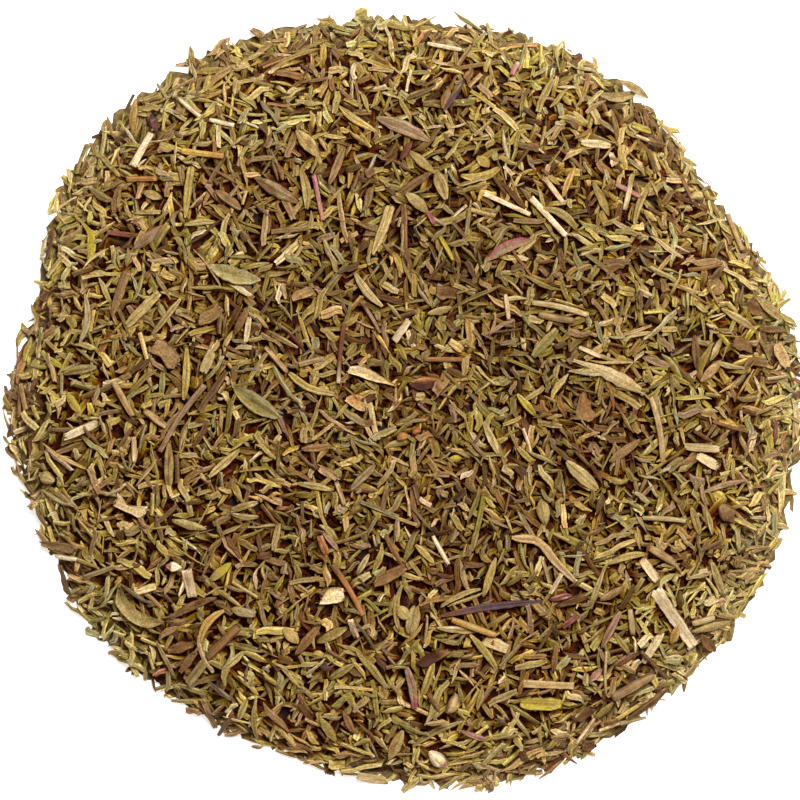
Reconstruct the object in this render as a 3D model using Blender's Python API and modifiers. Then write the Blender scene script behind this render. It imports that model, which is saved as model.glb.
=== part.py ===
"""A round, flat-topped heap of dried, rubbed thyme.

The packed mass of small leaves is one closed solid with a flat underside. The larger leaves,
twigs, flakes, husks and buds lie on it, each as an object of its own. Lengths in the tables
are millimetres on the heap's plan: +X to the right, +Y to the back, origin under the middle.
"""

import math
import random

import bmesh
import bpy
from mathutils import Matrix, Vector

MM = 0.001
HEAP = "thyme_heap"

# The heap: its radius every 30 degrees, counted from +X towards +Y, and its height profile.
OUTLINE_RADII = (64.0, 62.6, 63.2, 62.4, 64.4, 64.8, 64.0, 63.2, 61.8, 62.2, 64.2, 64.6)
MEAN_RADIUS = 63.5
RIM_RISE = 12.0
RIM_RUN = 9.0
CROWN = 6.0
LUMP = 0.35
LUMP_WAVE = 34.0
RING_INSETS = (0.0, 1.2, 2.8, 5.0, 8.0, 12.0, 18.0, 26.0, 35.0, 45.0, 55.0)
SPOKES = 60

CLEARANCE = 0.45
STATIONS = (0.0, 0.08, 0.27, 0.5, 0.73, 0.92, 1.0)
FLAKE_SIDES = 9
FLAKE_THICKNESS = 0.25
TWIG_SIDES = 2
SEED = 12

# Leaf sections in half widths, the underside at zero: (across, up).
SECTIONS = {
    "rolled": (
        (-1, 0.4), (-0.6, 0.95), (0, 0.6), (0.6, 0.95), (1, 0.4),
        (0.55, 0), (0, 0.2), (-0.55, 0),
    ),
    "open": (
        (-1, 0.5), (-0.5, 0.42), (0, 0.26), (0.5, 0.42), (1, 0.5),
        (0.5, 0.14), (0, 0), (-0.5, 0.14),
    ),
    "domed": (
        (-1, 0.1), (-0.55, 0.5), (0, 0.62), (0.55, 0.5), (1, 0.1),
        (0.5, 0), (0, 0), (-0.5, 0),
    ),
}

# Share of the full width at each station.
PLANS = {
    "pointed": (0.10, 0.42, 0.86, 1.0, 0.84, 0.42, 0.10),
    "blunt": (0.50, 0.80, 0.97, 1.0, 0.97, 0.76, 0.45),
    "snapped": (0.85, 0.95, 1.0, 1.0, 0.86, 0.48, 0.14),
    "stalked": (0.20, 0.22, 0.34, 0.82, 1.0, 0.52, 0.10),
}

# Name, finish, section, plan, width, path.
LEAVES = (
    ("broad_green_leaf", "green_leaf", "open", "pointed", 2.8, ((-31, 22), (-27, 20.2), (-22.5, 19.5))),
    ("folded_green_leaf", "green_leaf", "open", "pointed", 3.0, ((-27, 2), (-19.5, -3))),
    ("broad_pale_leaf", "pale_leaf", "open", "stalked", 2.5, ((28, 6.5), (33, 4.7), (40, 1))),
    ("bright_green_leaf", "yellow_leaf", "open", "blunt", 2.4, ((19.5, -49.3), (26.5, -49.5))),
    ("blunt_khaki_leaf", "green_leaf", "rolled", "blunt", 1.8, ((-44.5, 12), (-39, 17.5))),
    (
        "silver_curved_leaf", "grey_leaf", "rolled", "pointed", 1.3,
        ((-51.5, 17.5), (-50.8, 13), (-52.5, 9)),
    ),
    (
        "yellow_curved_leaf", "yellow_leaf", "domed", "stalked", 1.7,
        ((-53.5, 30.5), (-50.5, 27), (-51, 22.5)),
    ),
    ("upright_green_leaf", "green_leaf", "rolled", "snapped", 1.4, ((-34, 38), (-35, 29.5))),
    ("mauve_leaf", "brown_leaf", "domed", "pointed", 2.1, ((-43.5, 24.5), (-38.5, 28.5))),
    ("speckled_leaf", "green_leaf", "domed", "pointed", 2.4, ((-17, 44), (-13, 39.5))),
    ("gold_leaf", "yellow_leaf", "rolled", "pointed", 1.4, ((-10, 48), (-7.5, 45.7), (-3.5, 43.5))),
    ("ribbed_mauve_leaf", "brown_leaf", "rolled", "pointed", 2.6, ((-4, 46), (0.5, 44.2), (5, 42))),
    ("grey_brown_leaf", "brown_leaf", "rolled", "pointed", 2.4, ((-23.5, 36), (-16.5, 32))),
    (
        "long_gold_leaf", "yellow_leaf", "rolled", "snapped", 1.7,
        ((-1.5, 31.5), (-2.8, 27.5), (-4.5, 23.5)),
    ),
    ("magenta_edged_leaf", "purple_leaf", "open", "pointed", 1.9, ((14, 22.5), (17.5, 25), (21.5, 26))),
    ("pale_short_leaf", "pale_leaf", "rolled", "blunt", 1.6, ((29.5, 42), (34.5, 41.5))),
    ("red_brown_leaf", "brown_leaf", "domed", "snapped", 1.7, ((-44.5, 21), (-47, 13.5))),
    ("bent_yellow_leaf", "yellow_leaf", "rolled", "blunt", 1.2, ((-18, 4.5), (-15, 2), (-10.6, 0.9))),
    ("twisted_khaki_leaf", "pale_leaf", "open", "pointed", 1.8, ((-8.5, 4.6), (-4, 3.8), (-0.5, 2.2))),
    (
        "tan_curled_leaf", "pale_leaf", "rolled", "blunt", 1.4,
        ((18, -22.5), (22.5, -22.7), (24.5, -25.5), (28.5, -29.5)),
    ),
    (
        "long_purple_leaf", "purple_leaf", "rolled", "pointed", 1.3,
        ((6, -35.2), (14, -33.6), (24.2, -32.6)),
    ),
    ("short_purple_leaf", "purple_leaf", "domed", "pointed", 1.7, ((35, -43.5), (39, -41.2))),
    ("pale_green_leaf", "pale_leaf", "domed", "blunt", 1.9, ((39.8, -43.2), (43, -38))),
    ("edge_green_leaf", "green_leaf", "rolled", "pointed", 1.6, ((52.5, 15), (58.6, 11.2))),
    ("dark_olive_leaf", "green_leaf", "domed", "blunt", 1.7, ((21.5, 7), (25.5, 11.5))),
    (
        "spoon_leaf", "brown_leaf", "open", "pointed", 2.8,
        ((-45.8, -30.5), (-44.8, -34), (-41.8, -35.9), (-38.5, -36.2)),
    ),
    ("rim_yellow_leaf", "yellow_leaf", "domed", "pointed", 2.2, ((-1.8, -59.2), (0.5, -54))),
    (
        "magenta_tipped_leaf", "brown_leaf", "rolled", "blunt", 1.4,
        ((1, -43.4), (2, -46.5), (2.4, -50.5)),
    ),
    ("long_khaki_leaf", "green_leaf", "rolled", "pointed", 1.3, ((2, -57), (5.5, -54.2), (10.5, -52.5))),
)

# Name, finish, thickness, path.
TWIGS = (
    ("pale_straw_chip", "straw_stem", 1.3, ((-43.5, 38), (-40.5, 43.5))),
    ("orange_twig", "orange_stem", 1.0, ((-44.5, 36), (-39.5, 36))),
    ("amber_twig", "orange_stem", 1.1, ((-35.5, 40.5), (-28.5, 39.5))),
    ("rose_twig", "purple_stem", 0.8, ((-14, 36.5), (-12.5, 29))),
    ("thin_straw_twig", "straw_stem", 0.9, ((13.5, 33.5), (21.2, 30))),
    ("long_straw_twig", "straw_stem", 1.1, ((21.2, 32.8), (27, 26.5))),
    ("plum_twig", "purple_stem", 0.8, ((-9, 12.5), (-9.6, 8), (-10, 2.6))),
    ("pale_middle_chip", "grey_stem", 1.3, ((-1, 9.5), (1.5, 13))),
    ("mauve_twig", "grey_stem", 1.0, ((-31.5, 2.5), (-35.5, -2.5), (-39, -8.5))),
    ("thick_straw_chip", "straw_stem", 2.2, ((41.4, -31), (48.2, -40.6))),
    ("square_cut_chip", "straw_stem", 1.9, ((-34.5, -27.5), (-33.5, -32))),
    ("tan_bark_strip", "orange_stem", 1.4, ((20, -46), (28.5, -46.5))),
    ("rim_brown_twig", "brown_stem", 1.0, ((53.6, 30.6), (56, 24.4))),
    ("orange_brown_twig", "orange_stem", 1.0, ((-11, -26.5), (-8.2, -30.6), (-6, -35))),
)

# Name, finish, length, width, cup, middle, heading in degrees.
FLAKES = (
    ("brown_cupped_flake", "brown_flake", 6.2, 3.7, 0.5, (-38, 7.5), -43),
    ("tan_middle_flake", "tan_flake", 4.6, 2.2, 0.4, (-7.2, -0.7), -29),
    ("split_brown_flake", "brown_flake", 5.6, 2.3, 0.6, (4.2, 2.7), 4),
    ("torn_tan_flake", "tan_flake", 7.0, 3.0, 0.3, (-43.5, -17.5), -8),
    ("cream_folded_flake", "pale_flake", 5.0, 3.3, 0.7, (-11, -31.8), 28),
    ("red_brown_flake", "brown_flake", 6.0, 2.9, 0.3, (30, -1.2), -79),
    ("tan_brown_flake", "tan_flake", 4.0, 3.1, 0.4, (51.2, 18.2), -14),
    ("dark_rim_flake", "brown_flake", 5.6, 2.8, 0.4, (57.8, 14.9), -12),
    ("orange_rim_flake", "tan_flake", 4.0, 2.6, 0.4, (60.6, 8.2), -25),
    ("dark_split_flake", "brown_flake", 6.0, 2.8, 0.5, (5.4, -41.8), 24),
    ("flat_dark_flake", "brown_flake", 4.8, 3.4, 0.2, (29.8, -51), 28),
)

# Name, finish, length, width, ribbed, middle, heading in degrees.
HUSKS = (
    ("ribbed_rim_husk", "husk", 3.6, 1.8, True, (-57, -12.4), -11),
    ("cream_rim_husk", "husk", 4.8, 2.0, True, (6.2, -57.8), -61),
    ("brown_bud", "bud", 4.2, 2.8, False, (52.4, -18.2), -43),
    ("cream_bud", "bud", 2.8, 1.7, False, (-36.5, -26.8), -2),
)

# Colour, roughness.
FINISHES = {
    "packed_leaf": ((0.20, 0.15, 0.06), 0.9),
    "green_leaf": ((0.30, 0.27, 0.10), 0.75),
    "pale_leaf": ((0.48, 0.41, 0.19), 0.7),
    "yellow_leaf": ((0.38, 0.31, 0.06), 0.7),
    "brown_leaf": ((0.22, 0.13, 0.07), 0.75),
    "grey_leaf": ((0.26, 0.25, 0.17), 0.8),
    "purple_leaf": ((0.16, 0.07, 0.08), 0.7),
    "straw_stem": ((0.62, 0.50, 0.27), 0.65),
    "orange_stem": ((0.40, 0.20, 0.06), 0.65),
    "brown_stem": ((0.20, 0.10, 0.05), 0.7),
    "purple_stem": ((0.33, 0.12, 0.15), 0.65),
    "grey_stem": ((0.34, 0.27, 0.20), 0.75),
    "brown_flake": ((0.20, 0.10, 0.05), 0.75),
    "tan_flake": ((0.38, 0.24, 0.11), 0.75),
    "pale_flake": ((0.58, 0.50, 0.30), 0.7),
    "husk": ((0.44, 0.36, 0.22), 0.75),
    "bud": ((0.32, 0.19, 0.09), 0.75),
}


def clear_scene():
    for obj in list(bpy.data.objects):
        bpy.data.objects.remove(obj, do_unlink=True)


def new_collection(name):
    collection = bpy.data.collections.new(name)
    bpy.context.scene.collection.children.link(collection)
    return collection


def finish_material(name):
    colour, roughness = FINISHES[name]
    material = bpy.data.materials.get(name) or bpy.data.materials.new(name)
    material.use_nodes = True
    shader = material.node_tree.nodes["Principled BSDF"]
    shader.inputs["Base Color"].default_value = (*colour, 1)
    shader.inputs["Roughness"].default_value = roughness
    shader.inputs["Metallic"].default_value = 0
    return material


def outline_radius(angle):
    """The heap's radius in millimetres, eased from one listed radius to the next."""
    place = (math.degrees(angle) % 360) / 30
    index = int(place)
    share = (1 - math.cos(math.pi * (place - index))) / 2
    first = OUTLINE_RADII[index % 12]
    second = OUTLINE_RADII[(index + 1) % 12]
    return first + (second - first) * share


def heap_height(x, y):
    """The height of the packed leaves at a place on the plan, in millimetres."""
    reach = math.hypot(x, y)
    inset = max(0.0, outline_radius(math.atan2(y, x)) - reach)
    rise = RIM_RISE * (1 - math.exp(-inset / RIM_RUN))
    crown = CROWN * max(0.0, 1 - (reach / MEAN_RADIUS) ** 2)
    lump = LUMP * math.sin(2 * math.pi * x / LUMP_WAVE) * math.cos(2 * math.pi * y / LUMP_WAVE)
    return rise + crown + lump * min(1.0, inset / RIM_RUN)


def lay_on_heap(x, y, heading):
    """A frame on the heap at (x, y): local X along the heading, local Z out of the surface."""
    step = 0.5
    slope_x = (heap_height(x + step, y) - heap_height(x - step, y)) / (2 * step)
    slope_y = (heap_height(x, y + step) - heap_height(x, y - step)) / (2 * step)
    out = Vector((-slope_x, -slope_y, 1)).normalized()
    level = Vector((math.cos(heading), math.sin(heading), 0))
    along = (level - out * level.dot(out)).normalized()
    across = out.cross(along)
    middle = Vector((x, y, heap_height(x, y))) + out * CLEARANCE
    frame = Matrix((along, across, out)).transposed().to_4x4()
    frame.translation = middle * MM
    return frame


def eased_path(path, share):
    """A point at this share of a smooth line through the path's points."""
    spans = len(path) - 1
    index = min(int(share * spans), spans - 1)
    t = share * spans - index
    points = [Vector(point) for point in path]
    before = points[index - 1] if index else 2 * points[0] - points[1]
    after = points[index + 2] if index + 2 <= spans else 2 * points[-1] - points[-2]
    a, b = points[index], points[index + 1]
    return 0.5 * (
        2 * a + (b - before) * t + (2 * before - 5 * a + 4 * b - after) * t * t
        + (3 * a - before - 3 * b + after) * t * t * t
    )


def path_on_heap(path, shares):
    """The frame of a path laid on the heap, and its points at the given shares, in that frame."""
    middle = eased_path(path, 0.5)
    run = Vector(path[-1]) - Vector(path[0])
    frame = lay_on_heap(middle.x, middle.y, math.atan2(run.y, run.x))
    inverse = frame.inverted()
    out = frame.to_3x3() @ Vector((0, 0, 1))
    points = []
    for share in shares:
        place = eased_path(path, share) * MM
        drop = (place - frame.translation.xy).dot(out.xy) / out.z
        points.append(inverse @ Vector((place.x, place.y, frame.translation.z - drop)))
    return frame, points


def section_guide(name, outline, collection):
    """A closed section curve that the leaves are drawn along. It isn't part of the heap."""
    data = bpy.data.curves.new(name, "CURVE")
    data.dimensions = "2D"
    spline = data.splines.new("POLY")
    spline.points.add(len(outline) - 1)
    for point, (across, up) in zip(spline.points, outline):
        point.co = (across, up, 0, 1)
    spline.use_cyclic_u = True
    guide = bpy.data.objects.new(name, data)
    guide.hide_render = True
    guide.display_type = "WIRE"
    collection.objects.link(guide)
    return guide


def curve_object(name, points, radii, frame, collection):
    data = bpy.data.curves.new(name, "CURVE")
    data.dimensions = "3D"
    data.twist_mode = "Z_UP"
    data.use_fill_caps = True
    spline = data.splines.new("POLY")
    spline.points.add(len(points) - 1)
    for point, place, radius in zip(spline.points, points, radii):
        point.co = (*place, 1)
        point.radius = radius
    spline.use_smooth = True
    obj = bpy.data.objects.new(name, data)
    obj.matrix_world = frame
    collection.objects.link(obj)
    return obj


def leaf(name, finish, section, plan, width, path, collection, guides):
    frame, points = path_on_heap(path, STATIONS)
    radii = [width / 2 * MM * share for share in PLANS[plan]]
    obj = curve_object(name, points, radii, frame, collection)
    obj.data.bevel_mode = "OBJECT"
    obj.data.bevel_object = guides[section]
    obj.data.materials.append(finish_material(finish))


def twig(name, finish, thickness, path, collection):
    shares = [index / (2 * len(path) - 2) for index in range(2 * len(path) - 1)]
    frame, points = path_on_heap(path, shares)
    for point in points:
        point.z += thickness / 2 * MM
    taper = [1 - 0.15 * share for share in shares]
    obj = curve_object(name, points, taper, frame, collection)
    obj.data.bevel_depth = thickness / 2 * MM
    obj.data.bevel_resolution = TWIG_SIDES
    obj.data.materials.append(finish_material(finish))


def mesh_object(name, finish, shape, frame, collection):
    mesh = bpy.data.meshes.new(name)
    shape.to_mesh(mesh)
    shape.free()
    mesh.shade_smooth()
    mesh.materials.append(finish_material(finish))
    obj = bpy.data.objects.new(name, mesh)
    obj.matrix_world = frame
    collection.objects.link(obj)
    return obj


def flake(name, finish, length, width, cup, middle, heading, collection, rng):
    """A torn piece of a flat dry leaf: an uneven oval, cupped, with its rim raised."""
    shape = bmesh.new()
    bmesh.ops.create_circle(shape, cap_ends=True, segments=FLAKE_SIDES, radius=1)
    bmesh.ops.poke(shape, faces=shape.faces[:])
    for vert in shape.verts:
        reach = vert.co.length
        torn = rng.uniform(0.82, 1.0) if reach > 0.5 else 1
        vert.co.x *= length / 2 * torn * MM
        vert.co.y *= width / 2 * torn * MM
        vert.co.z = cup * MM * reach * reach * rng.uniform(0.5, 1.0)
    obj = mesh_object(name, finish, shape, lay_on_heap(*middle, math.radians(heading)), collection)
    wall = obj.modifiers.new("leaf_thickness", "SOLIDIFY")
    wall.thickness = FLAKE_THICKNESS * MM
    wall.offset = 1
    wall.use_even_offset = False


def husk(name, finish, length, width, ribbed, middle, heading, collection):
    """A flower husk or a bud: an egg shape lying on its side, with ribs along a husk."""
    shape = bmesh.new()
    bmesh.ops.create_uvsphere(shape, u_segments=10, v_segments=7, radius=1)
    for vert in shape.verts:
        meridian = round(math.atan2(vert.co.y, vert.co.x) / (math.pi / 5))
        rib = 1.14 if ribbed and meridian % 2 else 1
        taper = 1 - 0.25 * vert.co.z
        across = vert.co.x * rib * taper * width / 2 * MM
        up = (vert.co.y * rib * taper + 1.35) * width / 2 * MM
        vert.co = Vector((vert.co.z * length / 2 * MM, across, up))
    mesh_object(name, finish, shape, lay_on_heap(*middle, math.radians(heading)), collection)


def leaf_mass(collection):
    """The packed small leaves: a turned profile, stretched to the heap's outline."""
    shape = bmesh.new()
    profile = [Vector((0, 0, 0))]
    profile += [Vector((MEAN_RADIUS - inset, 0, 0)) for inset in RING_INSETS]
    profile.append(Vector((0, 0, 1)))
    verts = [shape.verts.new(point) for point in profile]
    edges = [shape.edges.new(pair) for pair in zip(verts, verts[1:])]
    bmesh.ops.spin(
        shape, geom=verts + edges, axis=(0, 0, 1), cent=(0, 0, 0), angle=2 * math.pi, steps=SPOKES
    )
    bmesh.ops.remove_doubles(shape, verts=shape.verts[:], dist=0.001)
    bmesh.ops.recalc_face_normals(shape, faces=shape.faces[:])
    for vert in shape.verts:
        reach = math.hypot(vert.co.x, vert.co.y)
        underside = reach < 0.01 and vert.co.z < 0.5
        stretch = outline_radius(math.atan2(vert.co.y, vert.co.x)) / MEAN_RADIUS
        x, y = vert.co.x * stretch, vert.co.y * stretch
        vert.co = Vector((x, y, 0 if underside else heap_height(x, y))) * MM
    return mesh_object("leaf_mass", "packed_leaf", shape, Matrix.Identity(4), collection)


def main():
    clear_scene()
    rng = random.Random(SEED)
    heap = new_collection(HEAP)
    guides_collection = new_collection("section_guides")
    guides = {
        name: section_guide("section_" + name, outline, guides_collection)
        for name, outline in SECTIONS.items()
    }
    leaf_mass(heap)
    for row in LEAVES:
        leaf(*row, heap, guides)
    for row in TWIGS:
        twig(*row, heap)
    for row in FLAKES:
        flake(*row, heap, rng)
    for row in HUSKS:
        husk(*row, heap)


main()
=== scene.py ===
"""A round heap of dried, rubbed thyme: everything that shows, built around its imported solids.

Lengths are millimetres, and angles radians, until a mesh is written in metres.
The heap is poured in this order: a dark bed, thousands of small loose leaves that come to rest
on one another, then the larger leaves, twigs, flakes, husks and buds on top, and a last pinch
of small leaves that tucks them in.
"""

import math

import bmesh
import bpy
import numpy as np
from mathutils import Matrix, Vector, noise
from mathutils.bvhtree import BVHTree


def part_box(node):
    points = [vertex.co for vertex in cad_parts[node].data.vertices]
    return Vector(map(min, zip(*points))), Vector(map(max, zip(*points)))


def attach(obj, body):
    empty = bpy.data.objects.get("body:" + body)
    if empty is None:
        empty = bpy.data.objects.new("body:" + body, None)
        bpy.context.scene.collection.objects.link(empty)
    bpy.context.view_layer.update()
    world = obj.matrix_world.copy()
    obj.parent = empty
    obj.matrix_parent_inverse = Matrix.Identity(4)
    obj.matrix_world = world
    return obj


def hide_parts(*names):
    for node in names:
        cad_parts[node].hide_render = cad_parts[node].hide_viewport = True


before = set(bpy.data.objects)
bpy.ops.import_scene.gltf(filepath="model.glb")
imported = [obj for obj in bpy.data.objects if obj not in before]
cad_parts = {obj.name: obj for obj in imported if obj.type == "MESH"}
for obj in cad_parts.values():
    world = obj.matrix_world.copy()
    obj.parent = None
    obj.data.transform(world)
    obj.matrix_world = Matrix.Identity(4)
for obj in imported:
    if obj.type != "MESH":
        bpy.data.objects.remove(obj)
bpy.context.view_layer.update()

MM = 0.001
SEED = 41
rng = np.random.default_rng(SEED)

# The heap is poured on a square grid of cells that keeps the height of what already lies there.
CELL = 0.25
HALF = 70.0
CELLS = int(2 * HALF / CELL)
BARE = 0.05            # a cell with less height than this is bare table
OUTSIDE = -9.0         # the goal where no leaf may fall
OPEN_SKY = 99.0        # the ceiling where nothing lies above

# The bed under the loose leaves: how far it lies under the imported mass's top, how far its rim
# stays inside the mass's rim, and how ragged that rim is.
BED_DEPTH = 3.0
RIM_INSET = 1.0
RIM_RAGGED = 1.6

# How the loose leaves are poured.
LEAVES_POURED = 30000
LEAVES_TUCKED = 1500
TRIES = 3              # places that each leaf may fall at: it takes the one that lacks most
LEAST_LACK = 0.05      # a leaf falls only where at least this much is missing
SINK = 0.10            # how far a leaf presses into what lies under it
GUARD_CELLS = 3        # how many guarded cells a leaf may cover
STACK_LIMIT = 0.9      # a leaf that would rest higher than this over the goal rolls off
STEEPEST = 0.75        # and so does a leaf that would lie steeper than this
SISTERS = 0.45         # share of the leaves that fell beside the last one, lying nearly the same way
SISTER_APART = 0.9     # how far from the last one they fell, and how much they are turned from it
SISTER_TURN = 0.22
OVERHANG = 0.7         # a leaf that would reach further than this past the rim lies along it,
RIM_TURN = 0.35        # give or take this turn
STRAYS_FROM = 1.0      # but a leaf that wobbles more than this stays as it fell
LOOSE_PITCH = 0.06     # how unevenly leaves pitch and roll on what they lie on
LOOSE_ROLL = 0.22
PIT_DEPTH = 1.3        # the deepest pits between the leaves
PIT_CELLS = 3          # how far random heights are eased into pits
PIT_SPREADS = 2.2      # how many times the usual unevenness makes the deepest pit
LEAST_COMPANY = 0.55   # a leaf is swept away where less than this share of the table is covered
EASED_CELLS = 6        # how far the cover and the heap's surface are eased
PRESSED_FROM = 0.3     # what lies lower than this over the table is pressed flat above it

# How far loose leaves press into the larger pieces over them, how the standout pieces lie, and
# how the last pinch covers the edges of both.
PRESSED_IN = 0.15
STANDOUT_ARCH = 0.03
STANDOUT_ROOM = 0.6
GUARDED = 0.6          # a cell is guarded where more than this share of its neighbours is laid
TUCKED_RISE = 0.9
TUCKED_MORE = 0.35
TUCKED_APART = 0.8

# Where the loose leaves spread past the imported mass, or lie short of it: heading in degrees,
# half spread in degrees, and how far.
RIM_PUSHES = (
    (-25, 42, 2.0), (8, 14, 0.9), (38, 9, -0.9), (62, 26, 0.9), (105, 20, 0.9), (138, 20, 1.5),
    (166, 11, -1.4), (180, 10, 1.4), (220, 14, 0.8), (282, 16, 1.4),
)
RIM_RADIUS = 63
RIM_FADE = 8           # the power by which a push fades from the rim to the middle
RIM_BEYOND = 1.05

# How the leaves darken under the heap's surface, a painted shade, in red, green and blue: how deep that
# starts, over what depth it grows, and how much is lost at the end. The open rim loses less.
HOLLOW_START = np.array([0.0, -0.02, -0.4])
HOLLOW_REACH = 1.2
HOLLOW_LOSS = np.array([0.81, 0.955, 0.99])
HOLLOW_OF_LARGE = 0.3
OPEN_RIM_FROM, OPEN_RIM_TO, OPEN_RIM_LEAST = 58, 65, 0.15

# Colours of dried thyme in plain words, as sRGB hex.
TINTS = {
    "olive": "9a864c", "khaki": "aa9662", "gold": "bca468", "yellow": "ae9852", "lime": "9c8e44",
    "citron": "b2a03c", "moss": "867a46", "sage": "a49a6c", "honey": "d4ae5a", "straw": "dec69a",
    "cream": "ecdab2", "ash": "cab496", "sand": "c6b080", "tan": "ba9c6c", "amber": "be9654",
    "orange": "b07a48", "rust": "8c6840", "umber": "785c3a", "bark": "92764e", "cocoa": "5e4228",
    "mauve": "9c8064", "plum": "744a38", "magenta": "a25a62", "rose": "ba847c", "violet": "5a4448",
    "dusk": "452a20", "grey": "94825c", "silver": "a8966a", "ember": "ac643c",
}


def linear(hex_colour):
    """An sRGB hex colour as linear red, green and blue."""
    parts = [int(hex_colour[place:place + 2], 16) / 255 for place in (0, 2, 4)]
    return [part / 12.92 if part <= 0.04045 else ((part + 0.055) / 1.055) ** 2.4 for part in parts]


def add(tree, kind, *values, inputs=None, **settings):
    """A new node with its settings. Its inputs, in their order or by name, are plain values,
    sockets to link, or nodes, of which the first output is linked."""
    node = tree.nodes.new(kind)
    for name, value in settings.items():
        setattr(node, name, value)
    for key, value in [*enumerate(values), *(inputs or {}).items()]:
        if isinstance(value, bpy.types.Node):
            value = value.outputs[0]
        if isinstance(value, bpy.types.NodeSocket):
            tree.links.new(value, node.inputs[key])
        else:
            node.inputs[key].default_value = value
    return node


def link(obj):
    bpy.context.scene.collection.objects.link(obj)
    return obj


def ruffle(*place):
    """Smooth noise between -1 and 1 at this place."""
    return noise.noise(Vector(place))


# ---- The grid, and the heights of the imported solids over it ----

# Rays start at these heights in metres, above and below the heap. The mass is smooth, so they
# measure only one cell in a few of it.
ABOVE_HEAP = 0.05
BELOW_HEAP = -0.01
COARSE_STEP = 4


def cell_of(value):
    """The row or column that a place falls in."""
    return ((np.asarray(value) + HALF) / CELL).astype(int)


def middle_of(index):
    """The place of a row's or column's middle."""
    return (index + 0.5) * CELL - HALF


def over(grid, x, y):
    """The grid's values over these places."""
    return grid[cell_of(y), cell_of(x)]


def eased(grid, reach):
    """The grid averaged over a square of cells this far to each side."""
    for axis in (0, 1):
        total = np.zeros_like(grid)
        for shift in range(-reach, reach + 1):
            total += np.roll(grid, shift, axis)
        grid = total
    return grid / (2 * reach + 1) ** 2


def solid_tree(node):
    """A node's solid, ready to be probed with rays."""
    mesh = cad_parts[node].data
    return BVHTree.FromPolygons(
        [vert.co for vert in mesh.vertices], [face.vertices for face in mesh.polygons]
    )


def mass_heights():
    """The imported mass's height over each cell: measured over a coarse grid and eased between."""
    tree = solid_tree("leaf_mass")
    places = middle_of(np.arange(0, CELLS, COARSE_STEP))
    coarse = np.zeros((len(places), len(places)))
    for row, y in enumerate(places):
        for column, x in enumerate(places):
            hit = tree.ray_cast(Vector((x * MM, y * MM, ABOVE_HEAP)), Vector((0, 0, -1)))[0]
            if hit:
                coarse[row, column] = max(0.0, hit.z / MM)
    fine = middle_of(np.arange(CELLS))
    wide = np.array([np.interp(fine, places, row) for row in coarse])
    return np.array([np.interp(fine, places, column) for column in wide.T]).T


def spread_rim(heights):
    """The heights with the rim pushed out or in, and the middle left as it is."""
    places = middle_of(np.arange(CELLS))
    y, x = np.meshgrid(places, places, indexing="ij")
    heading = np.degrees(np.arctan2(y, x))
    push = np.zeros_like(heights)
    for middle, spread, far in RIM_PUSHES:
        apart = (heading - middle + 180) % 360 - 180
        push += far * np.exp(-(apart / spread) ** 2)
    share = np.minimum(np.hypot(x, y) / RIM_RADIUS, RIM_BEYOND)
    inwards = 1 - push / RIM_RADIUS * share ** RIM_FADE
    last = HALF - 1
    return over(heights, np.clip(x * inwards, -last, last), np.clip(y * inwards, -last, last))


def node_heights(node, from_below):
    """The cells that a node covers, and its lowest or highest height over each."""
    tree = solid_tree(node)
    low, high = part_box(node)
    start, step = (BELOW_HEAP, 1) if from_below else (ABOVE_HEAP, -1)
    found = []
    for row in range(cell_of(low.y / MM), cell_of(high.y / MM) + 1):
        for column in range(cell_of(low.x / MM), cell_of(high.x / MM) + 1):
            place = Vector((middle_of(column) * MM, middle_of(row) * MM, start))
            hit = tree.ray_cast(place, Vector((0, 0, step)))[0]
            if hit:
                found.append((row, column, hit.z / MM))
    rows, columns, heights = np.array(found).T
    return (rows.astype(int), columns.astype(int)), heights


# ---- Pouring: each leaf comes to rest on what lies under it ----

# The places where a falling leaf feels what lies under it, as shares of its length and width, and
# the pairs of places, one towards each end, that can carry it.
RESTS = np.linspace(-0.46, 0.46, 7)
RESTS_ACROSS = np.array((-0.32, 0.0, 0.32))
LEFT, RIGHT = np.array([(i, j) for i in range(4) for j in range(3, 7) if i != j]).T
ROLL_SHARE = 0.6
FOOTPRINT_STEP = 0.2
TOP_SHARE = 0.8        # how much of its thickness a leaf's top stands above where it rests


def resting_line(ridge, places):
    """A straight leaf on an uneven ridge: its height at the middle, and its slope."""
    gap = places[RIGHT] - places[LEFT]
    middle = (ridge[LEFT] * places[RIGHT] - ridge[RIGHT] * places[LEFT]) / gap
    best = middle.argmax()
    return middle[best], (ridge[RIGHT[best]] - ridge[LEFT[best]]) / gap[best]


def settle(pile, x, y, turn, length, width):
    """Where a leaf of this size comes to rest: its height, pitch and roll."""
    along, side = (math.cos(turn), math.sin(turn)), (-math.sin(turn), math.cos(turn))
    places = RESTS * length
    across = RESTS_ACROSS * width
    px = x + places[:, None] * along[0] + across[None] * side[0]
    py = y + places[:, None] * along[1] + across[None] * side[1]
    heights = over(pile, px, py)
    middle, slope = resting_line(heights.max(1), places)
    lean = (heights[:, 2].mean() - heights[:, 0].mean()) / (2 * RESTS_ACROSS[2] * width)
    return middle, math.atan(slope), ROLL_SHARE * math.atan(lean)


def footprint(x, y, height, turn, pitch, roll, length, width, thickness):
    """The cells that a resting leaf covers, and the height of its top over each."""
    reach = length * math.cos(pitch)
    stations = max(4, int(reach / FOOTPRINT_STEP))
    rows = max(3, int(width / FOOTPRINT_STEP))
    u = np.linspace(-0.5, 0.5, stations)
    v = np.linspace(-0.5, 0.5, rows)
    plan = np.sqrt(np.clip(1.15 - 4 * u * u, 0.1, 1))
    along = np.repeat(u * reach, rows)
    across = (plan[:, None] * v[None]).ravel() * width * math.cos(roll)
    top = height + along * math.tan(pitch) + across * math.tan(roll) + TOP_SHARE * thickness
    column = cell_of(x + along * math.cos(turn) - across * math.sin(turn))
    row = cell_of(y + along * math.sin(turn) + across * math.cos(turn))
    return (row, column), top


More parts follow.
